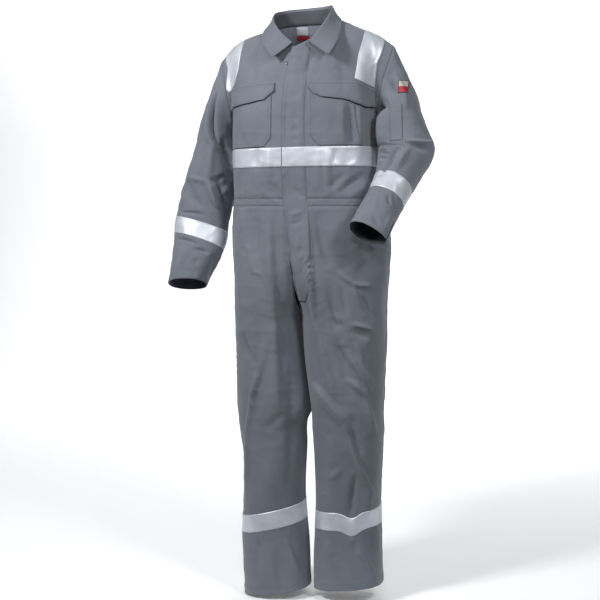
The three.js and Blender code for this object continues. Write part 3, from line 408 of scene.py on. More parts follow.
def along(rows, at, key=None):
    """Smooth curve through a table's rows, at a value of the column key or at a share of the rows."""
    last = len(next(iter(rows.values()))) - 1
    at = np.asarray(at, float)
    if key:
        z = rows[key]
        i = np.clip(np.searchsorted(-z, -at, side="left") - 1, 0, last - 1)
        t = np.clip((at - z[i]) / (z[i + 1] - z[i]), 0, 1)
    else:
        t = np.clip(at, 0, 1) * last
        i = np.minimum(last - 1, np.floor(t).astype(int))
        t = t - i
    before, after = np.maximum(i - 1, 0), np.minimum(i + 2, last)
    share_in = share_out = 1.0
    if key:
        span = z[i + 1] - z[i]
        share_in = np.where(i > 0, 2 * span / np.where(i > 0, z[i + 1] - z[before], 1), 1)
        share_out = np.where(i < last - 1, 2 * span / np.where(i < last - 1, z[after] - z[i], 1), 1)
    made = {}
    for name, v in rows.items():
        m0 = np.where(i > 0, (v[i + 1] - v[before]) / 2, v[i + 1] - v[i]) * share_in
        m1 = np.where(i < last - 1, (v[after] - v[i]) / 2, v[i + 1] - v[i]) * share_out
        s = 1 - t
        made[name] = v[i] * (1 + 2 * t) * s * s + v[i + 1] * t * t * (3 - 2 * t) + m0 * t * s * s - m1 * t * t * s
    return made


def value_noise(points, seed):
    """Smooth random field between -1 and 1, one lattice step per unit."""
    values = np.random.default_rng(seed).uniform(-1, 1, 4096)
    cell = np.floor(points).astype(np.int64)
    f = points - cell
    f = f * f * f * (f * (f * 6 - 15) + 10)
    total = 0
    for corner in np.ndindex(2, 2, 2):
        key = np.bitwise_xor.reduce((cell + corner) * (73856093, 19349663, 83492791), axis=-1)
        total = total + values[key & 4095] * np.prod(np.where(corner, f, 1 - f), axis=-1)
    return total


def unit(v):
    return v / np.maximum(np.linalg.norm(v, axis=-1, keepdims=True), 1e-9)


def run_along(points, axis):
    """Distance over the cloth from its first row or column."""
    strides = np.linalg.norm(np.diff(points, axis=axis), axis=-1)
    return np.insert(np.cumsum(strides, axis), 0, 0, axis)


# The garment's surfaces
def body_point(side, end, u, z):
    """Section of the body at height z; u runs from the centre line to the side."""
    row = along(BODY, z, "z")
    angle = u * math.pi / 2
    x = row["mid"] + side["sign"] * row[side["name"]] * power(np.sin(angle), SQUARE)
    y = lerp(end["face"] * row[end["name"]] * power(np.cos(angle), SQUARE), SIDE_Y, ease(0.6, 1, u))
    return point(x, y, z + row["tilt"] * x)


def top_point(side, end, u):
    """Top edge of an upper panel: the neckline, then the shoulder seam."""
    front = end["face"] < 0
    neck = point(side["neck"][0], -4, side["neck"][1])
    tip = point(side["tip"][0], 2, side["tip"][1])
    t = np.clip((u - NECK_SHARE) / (1 - NECK_SHARE), 0, 1)
    seam = lerp(neck, tip, t[..., None])
    seam[..., 2] += side["bow"] * np.sin(math.pi * t**1.4)
    middle = point(1 if front else 4, end["neckY"], end["neckZ"])
    out, up = (0.5, 0.3) if front else (0.78, 0.1)
    pull = point(lerp(middle[0], neck[0], out), end["scoopY"], lerp(middle[2], neck[2], up))
    rise = lerp(middle, neck, np.array([0.96, 0.6, 0.8]))
    line = bezier(middle, pull, rise, neck, np.clip(u / NECK_SHARE, 0, 1))
    return np.where((u > NECK_SHARE)[..., None], seam, line)


def shoulder_point(side, end, u, t):
    """Upper panel above the underarm: each column leaves the top edge and turns down to the chest."""
    u, t = np.broadcast_arrays(np.asarray(u, float), np.asarray(t, float))
    top = top_point(side, end, u)
    foot = body_point(side, end, u, np.full_like(u, UNDERARM_Z))
    on_neck = 1 - ease(0, NECK_SHARE, u)
    on_arm = ease(0.72, 1, u)[..., None]
    out = end["face"]
    start = point(0, out * lerp(62, 12, on_neck), lerp(-16, -60 if out < 0 else -48, on_neck))
    start = lerp(start, np.array([-side["sign"] * 8, end["armY"] * 0.95, -46]), on_arm)
    finish = point(0, 0, lerp(112, 70, on_neck))
    finish = lerp(finish, np.array([-side["sign"] * 14, end["armY"] * 1.05, 42]), on_arm)
    return bezier(top, top + start, foot + finish, foot, t)


def leg_point(side, end, u, z):
    """Leg tube; u runs from the centre line or inseam to the side seam."""
    u, z = np.broadcast_arrays(np.asarray(u, float), np.asarray(z, float))
    above = z >= CROTCH_Z
    body = along(BODY, np.maximum(z, CROTCH_Z), "z")
    leg = along(side["legs"], np.minimum(z, CROTCH_Z), "z")
    share = ease(HIP_Z, CROTCH_Z, z) ** 0.9
    outer = np.where(above, body["mid"] + side["sign"] * body[side["name"]], leg["outer"])
    inner = np.where(above, body["mid"], along(side["inseam"], np.minimum(z, CROTCH_Z), "z")["inner"])
    shift = np.abs(outer - inner) / 2 * share
    reach = np.abs(outer - inner) - shift
    turn = np.arcsin(np.clip((shift / reach) ** (SQUARE / 2), 0, 1))
    angle = lerp(-turn, math.pi / 2, u)
    depth = np.where(above, body[end["name"]], leg[end["name"]])
    x = inner + side["sign"] * (shift + reach * power(np.sin(angle), SQUARE))
    centre = lerp(SIDE_Y, 0, share)
    y = centre * np.where(u > 0.6, ease(0.6, 1, u), share * (1 - ease(0, 0.4, u)))
    y = y + end["face"] * depth * power(np.cos(angle), SQUARE)
    drop = 0
    if side["sign"] > 0 and end["face"] < 0:
        drop = SAG["drop"] * np.exp(-(((x - SAG["x"]) / SAG["wide"]) ** 2) - ((z - SAG["z"]) / SAG["tall"]) ** 2)
    tilt = np.where(above, 0, leg["tilt"] * (x - (outer + inner) / 2))
    made = point(x, y, z - drop + tilt)
    waist = (1 - ease(-WAIST_LOW_Z, -HIP_Z, -z))[..., None]
    return lerp(made, body_point(side, end, u, np.maximum(z, CROTCH_Z)), np.where((z > HIP_Z)[..., None], waist, 0))


def ring_point(row, sign, angle):
    """Sleeve ring; the angle runs from the outer line towards the front."""
    way = unit(point(row["dx"], row["dy"], row["dz"]))
    forward = unit(np.array([0.0, -1.0, 0.0]) + way * way[..., 1:2])
    outward = unit(np.cross(forward, way))
    outward = outward * np.where(outward[..., 0:1] * sign < 0, -1, 1)
    across = (row["across"] * power(np.cos(angle), TUBE_SQUARE))[..., None]
    deep = (row["deep"] * power(np.sin(angle), TUBE_SQUARE))[..., None]
    return point(row["x"], row["y"], row["z"]) + outward * across + forward * deep


# Cloth grids
class Cloth:
    """Rows of points from top to bottom; along a row they run anticlockwise seen from above."""

    def __init__(self, points, normals=None, closed=False):
        self.points, self.normals, self.closed = points, normals, closed
        if normals is None:
            self.aim()

    def aim(self):
        down = np.pad(self.points, ((1, 1), (0, 0), (0, 0)), "edge")
        across = np.pad(self.points, ((0, 0), (1, 1), (0, 0)), "wrap" if self.closed else "edge")
        self.normals = unit(np.cross(down[2:] - down[:-2], across[:, 2:] - across[:, :-2]))

    def grid(self, base=0):
        """Number of each point, the first column again after the last where the cloth is closed."""
        count, cols = self.points.shape[:2]
        at = base + np.arange(count * cols).reshape(count, cols)
        return np.concatenate([at, at[:, :1]], 1) if self.closed else at

    def cut(self, rows):
        return Cloth(self.points[rows], self.normals[rows], self.closed)

    def at(self, j, i):
        """Points and directions at fractional rows and columns."""
        count, cols = self.points.shape[:2]
        j, i = np.broadcast_arrays(np.asarray(j, float), np.asarray(i, float))
        j = np.clip(j, 0, count - 1)
        i = i % cols if self.closed else np.clip(i, 0, cols - 1)
        j0 = np.minimum(np.floor(j).astype(int), count - 2)
        i0 = np.floor(i).astype(int) if self.closed else np.minimum(np.floor(i).astype(int), cols - 2)
        i1 = (i0 + 1) % cols if self.closed else i0 + 1
        fj, fi = (j - j0)[..., None], (i - i0)[..., None]
        made = []
        for v in (self.points, self.normals):
            upper = v[j0, i0] * (1 - fi) + v[j0, i1] * fi
            lower = v[j0 + 1, i0] * (1 - fi) + v[j0 + 1, i1] * fi
            made.append(upper * (1 - fj) + lower * fj)
        return made[0], unit(made[1])

    def area(self):
        p = self.points.reshape(-1, 3)[self.grid()]
        a, b, c, d = p[:-1, :-1], p[:-1, 1:], p[1:, 1:], p[1:, :-1]
        return float(np.linalg.norm(np.cross(c - a, d - b), axis=-1).sum() / 2) * MM * MM


def join(*cloths):
    """Side by side, the last column of one on the first of the next."""
    points, normals = (
        np.concatenate([getattr(c, name)[:, min(k, 1) :] for k, c in enumerate(cloths)], 1)
        for name in ("points", "normals")
    )
    return Cloth(points, normals)


def share_seams(cloths):
    """Cloths that share a seam share the directions along it, but not where they fold back."""
    rims = []
    for c in cloths:
        rims.append(np.ones(c.points.shape[:2], bool))
        rims[-1][1:-1, slice(None) if c.closed else slice(1, -1)] = False
    places, ways = (
        np.concatenate([getattr(c, name)[rim] for c, rim in zip(cloths, rims)]) for name in ("points", "normals")
    )
    groups = {}
    for n, key in enumerate(map(tuple, np.round(places * 16 + 0.137).astype(np.int64))):
        groups.setdefault(key, []).append(n)
    shared = ways.copy()
    for group in groups.values():
        for n in group if len(group) > 1 else ():
            found = ways[group]
            total = found[found @ ways[n] > -0.5].sum(0)
            shared[n] = total / np.linalg.norm(total)
    ends = np.cumsum([rim.sum() for rim in rims])
    for c, rim, made in zip(cloths, rims, np.split(shared, ends[:-1])):
        c.normals[rim] = made


def fold_lift(folds, x, z):
    """How far the folds of a table lift the cloth at each place of their view."""
    total = np.zeros(np.broadcast(x, z).shape)
    for x0, z0, x1, z1, bow, wide, deep, lean in zip(*folds.values()):
        lx, lz = x1 - x0, z1 - z0
        length = math.hypot(lx, lz)
        t = ((x - x0) * lx + (z - z0) * lz) / length**2
        off = ((x - x0) * lz - (z - z0) * lx) / length - bow * 4 * t * (1 - t)
        on = np.clip(np.sin(math.pi * np.clip(t, 0, 1)), 0, 1) ** 0.7
        wide = np.maximum(wide * np.where(off * lean < 0, 0.5, 1), NARROWEST)
        total += deep * np.exp(-((off / wide) ** 2)) * on
    return total


def ripple(p):
    """Small uneven wrinkles all over the cloth, the same wherever two pieces meet."""
    slow = value_noise(p / (70, 70, 150), 5) * 2.0
    mid = value_noise(p / (30, 30, 62) + 40, 11) * 1.1
    crease = np.clip(0.3 - np.abs(value_noise(p / (58, 58, 40) + 90, 17)), 0, 1) * 3.6
    diagonal = point(p[..., 0] + 0.7 * p[..., 2], p[..., 1], p[..., 2] - 0.7 * p[..., 0])
    cross = np.clip(0.22 - np.abs(value_noise(diagonal / (120, 120, 46) + 30, 29)), 0, 1) * 4.4
    return slow + mid + crease + cross


def crease_body(cloth):
    p, n = cloth.points, cloth.normals
    facing = np.clip((np.abs(n[..., 1]) - 0.25) / 0.55, 0, 1)
    front, back = (fold_lift(folds, p[..., 0], p[..., 2]) for folds in (FOLDS_FRONT, FOLDS_BACK))
    lift = np.where(n[..., 1] < 0, front, back) * facing * lerp(1.3, 1.7, ease(450, 640, -p[..., 2]))
    # Between the thighs the cloths touch and stay smooth.
    between = (np.abs(p[..., 0] - 20) < 60) * (p[..., 2] < CROTCH_Z)
    touching = np.exp(-(((np.abs(n[..., 0]) - 1) / 0.25) ** 2)) * between
    cloth.points = p + n * (lift + ripple(p) * (1 - touching))[..., None]
    cloth.aim()


def crease_sleeve(cloth, folds, sign, down):
    cols = cloth.points.shape[1]
    turn = np.arange(cols) / cols
    if sign > 0:
        turn = (1 - turn) % 1
    lift = fold_lift(folds, (turn * SLEEVE_ROUND)[None, :], down[:, None]) * SLEEVE_GAIN * ease(0, 60, down)[:, None]
    cloth.points = cloth.points + cloth.normals * (lift + ripple(cloth.points))[..., None]
    cloth.aim()


def near_edges(cloth, edges):
    """Distance of each point from the nearest of the named edges, along the cloth."""
    across, down = run_along(cloth.points, 1), run_along(cloth.points, 0)
    far = {"left": across, "right": across[:, -1:] - across, "top": down, "low": down[-1:] - down}
    return np.minimum.reduce([far[name] for name in edges.split()])


def sink_seams(cloth, edges, deep=1.0, wide=3.0):
    """The cloth dips into the seam and swells beside it, where its allowance lies underneath."""
    d = near_edges(cloth, edges)
    dip = -deep * np.exp(-((d / wide) ** 2)) + 0.5 * np.exp(-(((d - 7) / 4.5) ** 2))
    dip = dip + 0.55 * value_noise(cloth.points / 8, 31) * np.exp(-((d / 11) ** 2))
    cloth.points = cloth.points + cloth.normals * dip[..., None]


def steps(count, *close):
    """Even shares from 0 to 1, closer together beside each of the named shares."""
    made = set(np.round(np.linspace(0, 1, count + 1), 6))
    for c in close:
        for d in (-2.4, -1.5, -0.7, 0, 0.7, 1.5, 2.4):
            v = c + d / count * 0.5
            if 0 <= v <= 1:
                made.add(round(v, 6))
    made = sorted(made)
    kept = [made[0]]
    for v in made[1:]:
        if v - kept[-1] > 0.22 / count:
            kept.append(v)
    kept[-1] = 1.0
    return np.array(kept)


ARM = 40  # rows of an upper panel down to the underarm
half_u = steps(54, 0, 1)
arm_t = np.linspace(0, 1, ARM + 1)
chest_z = UNDERARM_Z + (WAIST_TOP_Z - UNDERARM_Z) * steps(44, 1)[1:]


def turned(rows, side, end):
    """Columns put the way round that a Cloth has them."""
    return rows[:, ::-1] if (side["sign"] < 0) == (end["face"] < 0) else rows


def upper_half(side, end):
    u = half_u[None, :]
    top = shoulder_point(side, end, u, arm_t[:, None])
    low = body_point(side, end, *np.broadcast_arrays(u, chest_z[:, None]))
    return turned(np.concatenate([top, low]), side, end)


def band_half(side, end):
    z = WAIST_TOP_Z + (WAIST_LOW_Z - WAIST_TOP_Z) * steps(8, 0, 1)
    return turned(body_point(side, end, *np.broadcast_arrays(half_u[None, :], z[:, None])), side, end)


def whole(left, right):
    return np.concatenate([left, right[:, 1:]], 1)


def leg_rows(side):
    z = WAIST_LOW_Z + (side["legs"]["z"][-1] - WAIST_LOW_Z) * steps(235, 0, 1)
    return np.sort(np.unique(np.append(z, CROTCH_Z)))[::-1]


def leg_panel(side, end):
    return turned(leg_point(side, end, half_u[None, :], leg_rows(side)[:, None]), side, end)


def sleeve_tube(side, rows, shares):
    """Columns leave the armhole, turn down over the cap and run on to the cuff."""
    sign = side["sign"]
    front = shoulder_point(side, FRONT, 1.0, arm_t)
    back = shoulder_point(side, BACK, 1.0, arm_t)
    edge = np.concatenate([front, back[1:-1][::-1]])
    count = len(edge)
    angle = np.arange(count) / count * 2 * math.pi
    high = (1 + np.cos(angle)) / 2
    beside = np.abs(np.sin(angle))
    leave = point(sign * (lerp(3, 20, high) + 14 * beside), 0, lerp(-12, -42, high) + 8 * beside)
    first = {name: v[0] for name, v in rows.items()}
    way = np.array([first["dx"], first["dy"], first["dz"]])
    way = way / np.linalg.norm(way)
    foot = ring_point(first, sign, angle)
    arrive = foot - way * lerp(14, 62, high)[:, None]
    cap_t = np.linspace(0, 1, CAP_ROWS + 1)
    cap = bezier(edge[None], (edge + leave)[None], arrive[None], foot[None], cap_t[:, None])
    share = np.linspace(0, 1, LOWER_ROWS + 1)[1:]
    below = ring_point({n: v[:, None] for n, v in along(rows, share).items()}, sign, angle[None, :])
    made = np.concatenate([cap, below])
    down = np.concatenate([cap_t * CAP_STEPS, np.interp(share, [0] + shares, range(CAP_STEPS, CAP_STEPS + 16))])
    down = down / (CAP_STEPS + 15) * SLEEVE_LONG
    if sign > 0:
        made = np.concatenate([made[:, :1], made[:, :0:-1]], 1)
    return Cloth(made, closed=True), down


front_right = Cloth(upper_half(RIGHT, FRONT))
front_left = Cloth(upper_half(LEFT, FRONT))
back_upper = Cloth(whole(upper_half(LEFT, BACK), upper_half(RIGHT, BACK)))
band_right = Cloth(band_half(RIGHT, FRONT))
band_left = Cloth(band_half(LEFT, FRONT))
band_back = Cloth(whole(band_half(LEFT, BACK), band_half(RIGHT, BACK)))
leg_front_right = Cloth(leg_panel(RIGHT, FRONT))
leg_back_right = Cloth(leg_panel(RIGHT, BACK))
leg_front_left = Cloth(leg_panel(LEFT, FRONT))
leg_back_left = Cloth(leg_panel(LEFT, BACK))
sleeve_right, down_right = sleeve_tube(RIGHT, SLEEVE_RIGHT, SHARES_RIGHT)
sleeve_left, down_left = sleeve_tube(LEFT, SLEEVE_LEFT, SHARES_LEFT)

body_cloths = [
    front_right, front_left, back_upper, band_right, band_left, band_back,
    leg_front_right, leg_back_right, leg_front_left, leg_back_left,
]
cloths = body_cloths + [sleeve_right, sleeve_left]
share_seams(cloths)
for cloth in body_cloths:
    crease_body(cloth)
crease_sleeve(sleeve_right, FOLDS_RIGHT, -1, down_right)
crease_sleeve(sleeve_left, FOLDS_LEFT, 1, down_left)
share_seams(cloths)

# Smooth copies carry what is sewn on; the seams then sink between the panels.
wide_front = join(front_right, front_left)
wide_band = join(band_right, band_left)
wide_legs = join(leg_front_right.cut(slice(0, 70)), leg_front_left.cut(slice(0, 70)))
for cloth, edges in (
    (front_right, "left top low"), (front_left, "right top low"), (back_upper, "left right top low"),
    (band_right, "left top low"), (band_left, "right top low"), (band_back, "left right top low"),
    (leg_front_right, "left right top"), (leg_front_left, "left right top"),
    (leg_back_right, "left right top"), (leg_back_left, "left right top"),
    (sleeve_right, "top"), (sleeve_left, "top"),
):
    sink_seams(cloth, edges)


# What lies on the cloth
class Skin:
    """Finds the cloth's surface along a ray, with its direction there."""

    def __init__(self, *parts):
        corners, normals, tris = [], [], []
        base = 0
        for c in parts:
            at = c.grid(base)
            a, b, d, e = at[:-1, :-1], at[:-1, 1:], at[1:, 1:], at[1:, :-1]
            tris += [np.stack([a, e, b], -1).reshape(-1, 3), np.stack([b, e, d], -1).reshape(-1, 3)]
            corners.append(c.points.reshape(-1, 3))
            normals.append(c.normals.reshape(-1, 3))
            base += c.points[..., 0].size
        self.corners, self.normals, self.tris = np.concatenate(corners), np.concatenate(normals), np.concatenate(tris)
        self.tree = BVHTree.FromPolygons(self.corners.tolist(), self.tris.tolist())

    def find(self, origins, ways):
        shape = origins.shape
        o, w = origins.reshape(-1, 3), np.broadcast_to(ways, shape).reshape(-1, 3)
        hit, face = np.zeros_like(o), np.zeros(len(o), int)
        for k in range(len(o)):
            place, _, index, _ = self.tree.ray_cast(o[k], w[k])
            if place is None:
                place, _, index, _ = self.tree.find_nearest(o[k] + w[k] * 400)
            hit[k], face[k] = place, index
        a, b, c = (self.corners[self.tris[face, k]] for k in range(3))
        full = np.linalg.norm(np.cross(b - a, c - a), axis=-1)
        wa = np.linalg.norm(np.cross(b - hit, c - hit), axis=-1) / full
        wb = np.linalg.norm(np.cross(c - hit, a - hit), axis=-1) / full
        na, nb, nc = (self.normals[self.tris[face, k]] for k in range(3))
        n = na * wa[:, None] + nb * wb[:, None] + nc * (1 - wa - wb)[:, None]
        return hit.reshape(shape), unit(n).reshape(shape)

    def facing(self, place):
        """Direction of the surface at the corner nearest to a place on it."""
        _, _, face, _ = self.tree.find_nearest(place)
        corner = self.tris[face]
        near = corner[np.argmin(np.linalg.norm(self.corners[corner] - np.array(place), axis=-1))]
        return self.normals[near]

    def front(self, x, z):
        return self.find(point(x, -400.0, z), np.array([0.0, 1.0, 0.0]))


def walk(line, count):
    """Even points along a polyline."""
    line = np.asarray(line, float)
    d = np.concatenate([[0], np.cumsum(np.linalg.norm(np.diff(line, axis=0), axis=-1))])
    t = np.linspace(0, d[-1], count)
    for corner in d[1:-1]:
        t[np.clip(np.argmin(np.abs(t - corner)), 1, count - 2)] = corner
    return np.stack([np.interp(t, d, line[:, k]) for k in range(line.shape[1])], -1)


def coons(top, low, cols, rows, left=(), right=()):
    """Fills the plan between a top and a low line; left and right are what its sides pass on the way down."""
    left, right = walk([top[0], *left, low[0]], rows), walk([top[-1], *right, low[-1]], rows)
    top, low = walk(top, cols), walk(low, cols)
    s = np.linspace(0, 1, cols)[None, :, None]
    t = np.linspace(0, 1, rows)[:, None, None]
    corners = (
        (1 - s) * (1 - t) * top[0] + s * (1 - t) * top[-1] + (1 - s) * t * low[0] + s * t * low[-1]
    )
    return (1 - t) * top[None] + t * low[None] + (1 - s) * left[:, None] + s * right[:, None] - corners


def patch(skin, plan):
    """Cloth over a plan of front-view x and z, on the skin."""
    return Cloth(*skin.front(plan[..., 0], plan[..., 1]))


# Materials
def linear(code):
    """sRGB hex to linear colour."""
    parts = [int(code[k : k + 2], 16) / 255 for k in (1, 3, 5)]
    return (*[c / 12.92 if c <= 0.04045 else ((c + 0.055) / 1.055) ** 2.4 for c in parts], 1.0)


def node(tree, kind, links=None, **settings):
    """One node with its settings, its socket values and the links into it."""
    made = tree.nodes.new(kind)
    for name, value in settings.items():
        setattr(made, name, value)
    for socket, value in (links or {}).items():
        if isinstance(value, bpy.types.NodeSocket):
            tree.links.new(value, made.inputs[socket])
        else:
            made.inputs[socket].default_value = value
    return made


def material(name, build):
    made = bpy.data.materials.new(name)
    made.use_nodes = True
    tree = made.node_tree
    tree.nodes.clear()
    shader = build(tree)
    node(tree, "ShaderNodeOutputMaterial", {"Surface": shader.outputs[0]})
    return made


def cloth_uv(tree):
    return node(tree, "ShaderNodeUVMap", uv_map="cloth").outputs[0]


def noise(tree, vector, scale, detail=2.0, roughness=0.5):
    given = {"Vector": vector, "Scale": scale, "Detail": detail, "Roughness": roughness}
    return node(tree, "ShaderNodeTexNoise", given).outputs[0]


def ramp(tree, value, *stops):
    """Colours at places between 0 and 1."""
    made = node(tree, "ShaderNodeValToRGB", {"Fac": value})
    marks = made.color_ramp.elements
    for k, (place, colour) in enumerate(stops):
        mark = marks[k] if k < 2 else marks.new(place)
        mark.position, mark.color = place, colour
    return made.outputs[0]


def sums(tree, kind, *values):
    return node(tree, "ShaderNodeMath", dict(enumerate(values)), operation=kind).outputs[0]


def surface(tree, colour, roughness, height, strength, distance, **more):
    """A principled shader, its normal bumped by a height."""
    bumped = node(tree, "ShaderNodeBump", {"Height": height, "Strength": strength, "Distance": distance})
    given = {"Base Color": colour, "Roughness": roughness, "Normal": bumped.outputs[0]}
    given.update({name.replace("_", " "): value for name, value in more.items()})
    return node(tree, "ShaderNodeBsdfPrincipled", given)


def twill(shade, light, dark):
    """Cotton and polyester workwear twill, piece dyed: a matt face with a soft diagonal rib."""

    def build(tree):
        uv = cloth_uv(tree)
        # The real rib is 0.6 mm wide; it is drawn at 1.6 mm so that it shows at all.
        turned_uv = node(tree, "ShaderNodeMapping", {"Vector": uv, "Rotation": (0, 0, math.radians(62))})
        rib = node(
            tree, "ShaderNodeTexWave",
            {"Vector": turned_uv.outputs[0], "Scale": 200.0, "Distortion": 0.6, "Detail": 1.0},
            wave_type="BANDS", bands_direction="X",
        )
        cloud = noise(tree, node(tree, "ShaderNodeTexCoord").outputs["Object"], 9.0, 3.0, 0.6)
        colour = ramp(tree, cloud, (0.3, linear(dark)), (0.72, linear(light)), (0.5, linear(shade)))
        grain = sums(tree, "ADD", rib.outputs["Fac"], noise(tree, uv, 900.0))
        return surface(
            tree, colour, 0.86, grain, 0.25, 0.0006,
            Sheen_Weight=0.25, Sheen_Roughness=0.5, Specular_IOR_Level=0.3,
        )

    return build


def silver_tape(tree):
    """Reflective transfer tape on cotton backing: glass beads give a cool, even, half-metal sheen."""
    uv = cloth_uv(tree)
    beads = node(tree, "ShaderNodeTexVoronoi", {"Vector": uv, "Scale": 900.0}).outputs["Distance"]
    colour = ramp(tree, noise(tree, uv, 18.0, 3.0), (0.35, linear("#bcc2cb")), (0.7, linear("#cdd3dc")))
    return surface(tree, colour, 0.42, beads, 0.12, 0.0004, Metallic=0.25)


def plain(code, roughness, metallic=0.0, scale=400.0):
    """Fine even grain, a little darker and lighter than its colour."""

    def build(tree):
        grain = noise(tree, node(tree, "ShaderNodeTexCoord").outputs["Object"], scale)
        dark, light = ((*[min(1, c * share) for c in linear(code)[:3]], 1) for share in (0.8, 1.15))
        colour = ramp(tree, grain, (0, dark), (1, light))
        return surface(tree, colour, roughness, grain, 0.15, 0.0003, Metallic=metallic)

    return build


def two_halves(tree):
    """Woven patch, plain grey above and plain red below with a dark merrowed edge."""

    def pick(share, low, high):
        return node(tree, "ShaderNodeMix", {0: share, 6: low, 7: high}, data_type="RGBA").outputs[2]

    def past(place, half):
        return sums(tree, "GREATER_THAN", sums(tree, "ABSOLUTE", place), (half - PATCH_EDGE) * MM)

    uv = cloth_uv(tree)
    parts = node(tree, "ShaderNodeSeparateXYZ", {"Vector": uv}).outputs
    half = sums(tree, "GREATER_THAN", parts["Y"], PATCH_TALL * MM * 0.48)
    halves = pick(half, linear("#a7a39d"), linear("#98202a"))
    centred = sums(tree, "SUBTRACT", parts["Y"], PATCH_TALL * MM / 2)
    edge = sums(tree, "MAXIMUM", past(parts["X"], PATCH_WIDE / 2), past(centred, PATCH_TALL / 2))
    return surface(tree, pick(edge, halves, linear("#3a2226")), 0.65, noise(tree, uv, 500.0), 0.2, 0.0004)


def lit_paper(tree):
    """White paper sweep, lit through from behind so that it stays even and nearly free of shadow."""
    return node(
        tree, "ShaderNodeBsdfPrincipled",
        {
            "Base Color": linear("#f2f3f5"), "Roughness": 0.95,
            "Emission Color": (1.0, 1.0, 1.0, 1.0), "Emission Strength": 0.13,
        },
    )


TWILL = material("cotton_polyester_twill", twill("#686d77", "#6d727c", "#636872"))
# A near-black copy of the twill, painted shade for insides, undersides and the placket's free edge, not the cloth's
# own colour.
TWILL_PAINTED_DEEP_SHADE = material("twill_painted_deep_shade", twill("#2a2c31", "#2e3035", "#26282c"))
TWILL_INSIDE = material("twill_inside_the_body", twill("#747a85", "#7a808b", "#6e747f"))
# A darker copy of the twill, painted shade for the collar's stand and inside and for the left sleeve's inside seen in
# its cuff.
TWILL_PAINTED_SHADE = material("twill_painted_shade", twill("#43464d", "#474a51", "#3f4249"))
SILVER = material("silver_reflective_tape", silver_tape)
THREAD = material("spun_polyester_thread", plain("#555a63", 0.6))
PALE_THREAD = material("pale_thread_on_tape", plain("#b9bec6", 0.55))
STEEL = material("blackened_steel_stud", plain("#4a4d52", 0.4, metallic=1.0, scale=900.0))
WOVEN_GREY = material("woven_label_grey", plain("#b4b8bf", 0.7))
WOVEN_RED = material("woven_label_red", plain("#98202a", 0.7))
WOVEN_PATCH = material("woven_patch", two_halves)
PAPER = material("white_studio_paper", lit_paper)


# Making meshes
def place_object(name, data):
    made = bpy.data.objects.new(name, data)
    bpy.context.collection.objects.link(made)
    return made


def mesh_object(name, points, quads, uv, look):
    mesh = bpy.data.meshes.new(name)
    mesh.from_pydata((points * MM).tolist(), [], quads.tolist())
    mesh.shade_smooth()
    mesh.uv_layers.new(name="cloth").data.foreach_set("uv", uv[quads.ravel()].ravel())
    mesh.materials.append(look)
    return place_object(name, mesh)


def shell(name, cloth, low, high, look, inside_look=None, ends=0.0, sides=0.0, gone=None, rim=None, flat=None):
    """Closed sheet between two offsets from a cloth, its top and low edges and its sides set back."""
    p, n = cloth.points, cloth.normals
    count, cols = p.shape[:2]
    move = np.zeros_like(p)
    move[0] += unit(p[1] - p[0]) * ends
    move[-1] += unit(p[-2] - p[-1]) * ends
    move[:, 0] += unit(p[:, 1] - p[:, 0]) * sides
    move[:, -1] += unit(p[:, -2] - p[:, -1]) * sides
    layers = [p + n * np.broadcast_to(np.asarray(v, float), p.shape[:2])[..., None] + move for v in (high, low)]
    points = np.concatenate([v.reshape(-1, 3) for v in layers])
    if flat is None:
        across = run_along(p, 1)
        flat = np.stack([across - across[:, cols // 2][:, None], run_along(p, 0)], -1)
    uv = np.tile(flat.reshape(-1, 2) * MM, (2, 1))

    size = count * cols
    at = cloth.grid()
    quads = np.stack([at[:-1, :-1], at[1:, :-1], at[1:, 1:], at[:-1, 1:]], -1)
    quads = quads[~gone] if gone is not None else quads.reshape(-1, 4)
    # An edge that no neighbour runs the other way is on the rim and takes a wall.
    start, stop = quads.ravel(), np.roll(quads, -1, 1).ravel()
    bare = ~np.isin(start * size + stop, stop * size + start)
    start, stop = start[bare], stop[bare]
    walls = np.stack([stop, start, start + size, stop + size], -1)
    # The under layer is cut along the same diagonals, or it would come through where the cloth is twisted.
    faces = np.concatenate([quads, quads[:, [0, 3, 2, 1]] + size, walls])
    item = mesh_object(name, points, faces, uv, look)
    if inside_look:
        item.data.materials.append(inside_look)
        index = np.zeros(len(faces), np.int32)
        index[len(quads) : 2 * len(quads)] = 1
        # Rim walls may take the inside look too, as painted shade along an edge.
        if rim is not None:
            index[2 * len(quads) :] = rim(points[walls].mean(1))
        item.data.polygons.foreach_set("material_index", index)
    return item


pieces = {}


def mount(made, slot, *nodes):
    if nodes:
        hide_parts(*nodes)
    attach(made, "root")
    return made


def sew_on(node_name, name, piece, low, high, look, slot="cloth", back=None, **more):
    """A piece that lies on the garment, kept under its node's name for its stitches."""
    pieces[node_name] = piece
    return mount(shell(name, piece, low, high, look, back, **more), slot, node_name)


def tape(node_name, piece, low=LIFT):
    name = "tape_" + node_name.replace("_tape", "")
    return sew_on(node_name, name, piece, low, low + TAPE, SILVER, "tape")


def cloth_sheet(made, cloth, width, length):
    """Flat area of a cut sheet from its cloth, at most its width times its length; the value is not kept."""
    min(round(cloth.area(), 4), width * length)


def open_slit(cloth):
    """Cells left out of a cuff for its slit, whose sides are drawn apart towards the hem."""
    count, cols = cloth.points.shape[:2]
    near = int((1 - SLIT["turn"]) * cols)
    depth = near_edges(cloth, "low")[:, near]
    apart = unit(cloth.points[:, near + 1] - cloth.points[:, near])
    apart = apart * (SLIT["spread"] * np.clip(1 - depth / SLIT["long"], 0, 1))[:, None]
    for step, share in ((0, 1), (1, 0.6), (2, 0.3)):
        cloth.points[:, near - step] -= apart * share
        cloth.points[:, near + 1 + step] += apart * share
    gone = np.zeros((count - 1, cols), bool)
    gone[:, near] = depth[:-1] < SLIT["long"]
    return gone


def hem(cloth, tall):
    """The turned hem stands out by one more layer."""
    return HEM_THICK * (1 - ease(tall - 1.5, tall + 1.5, near_edges(cloth, "low")))


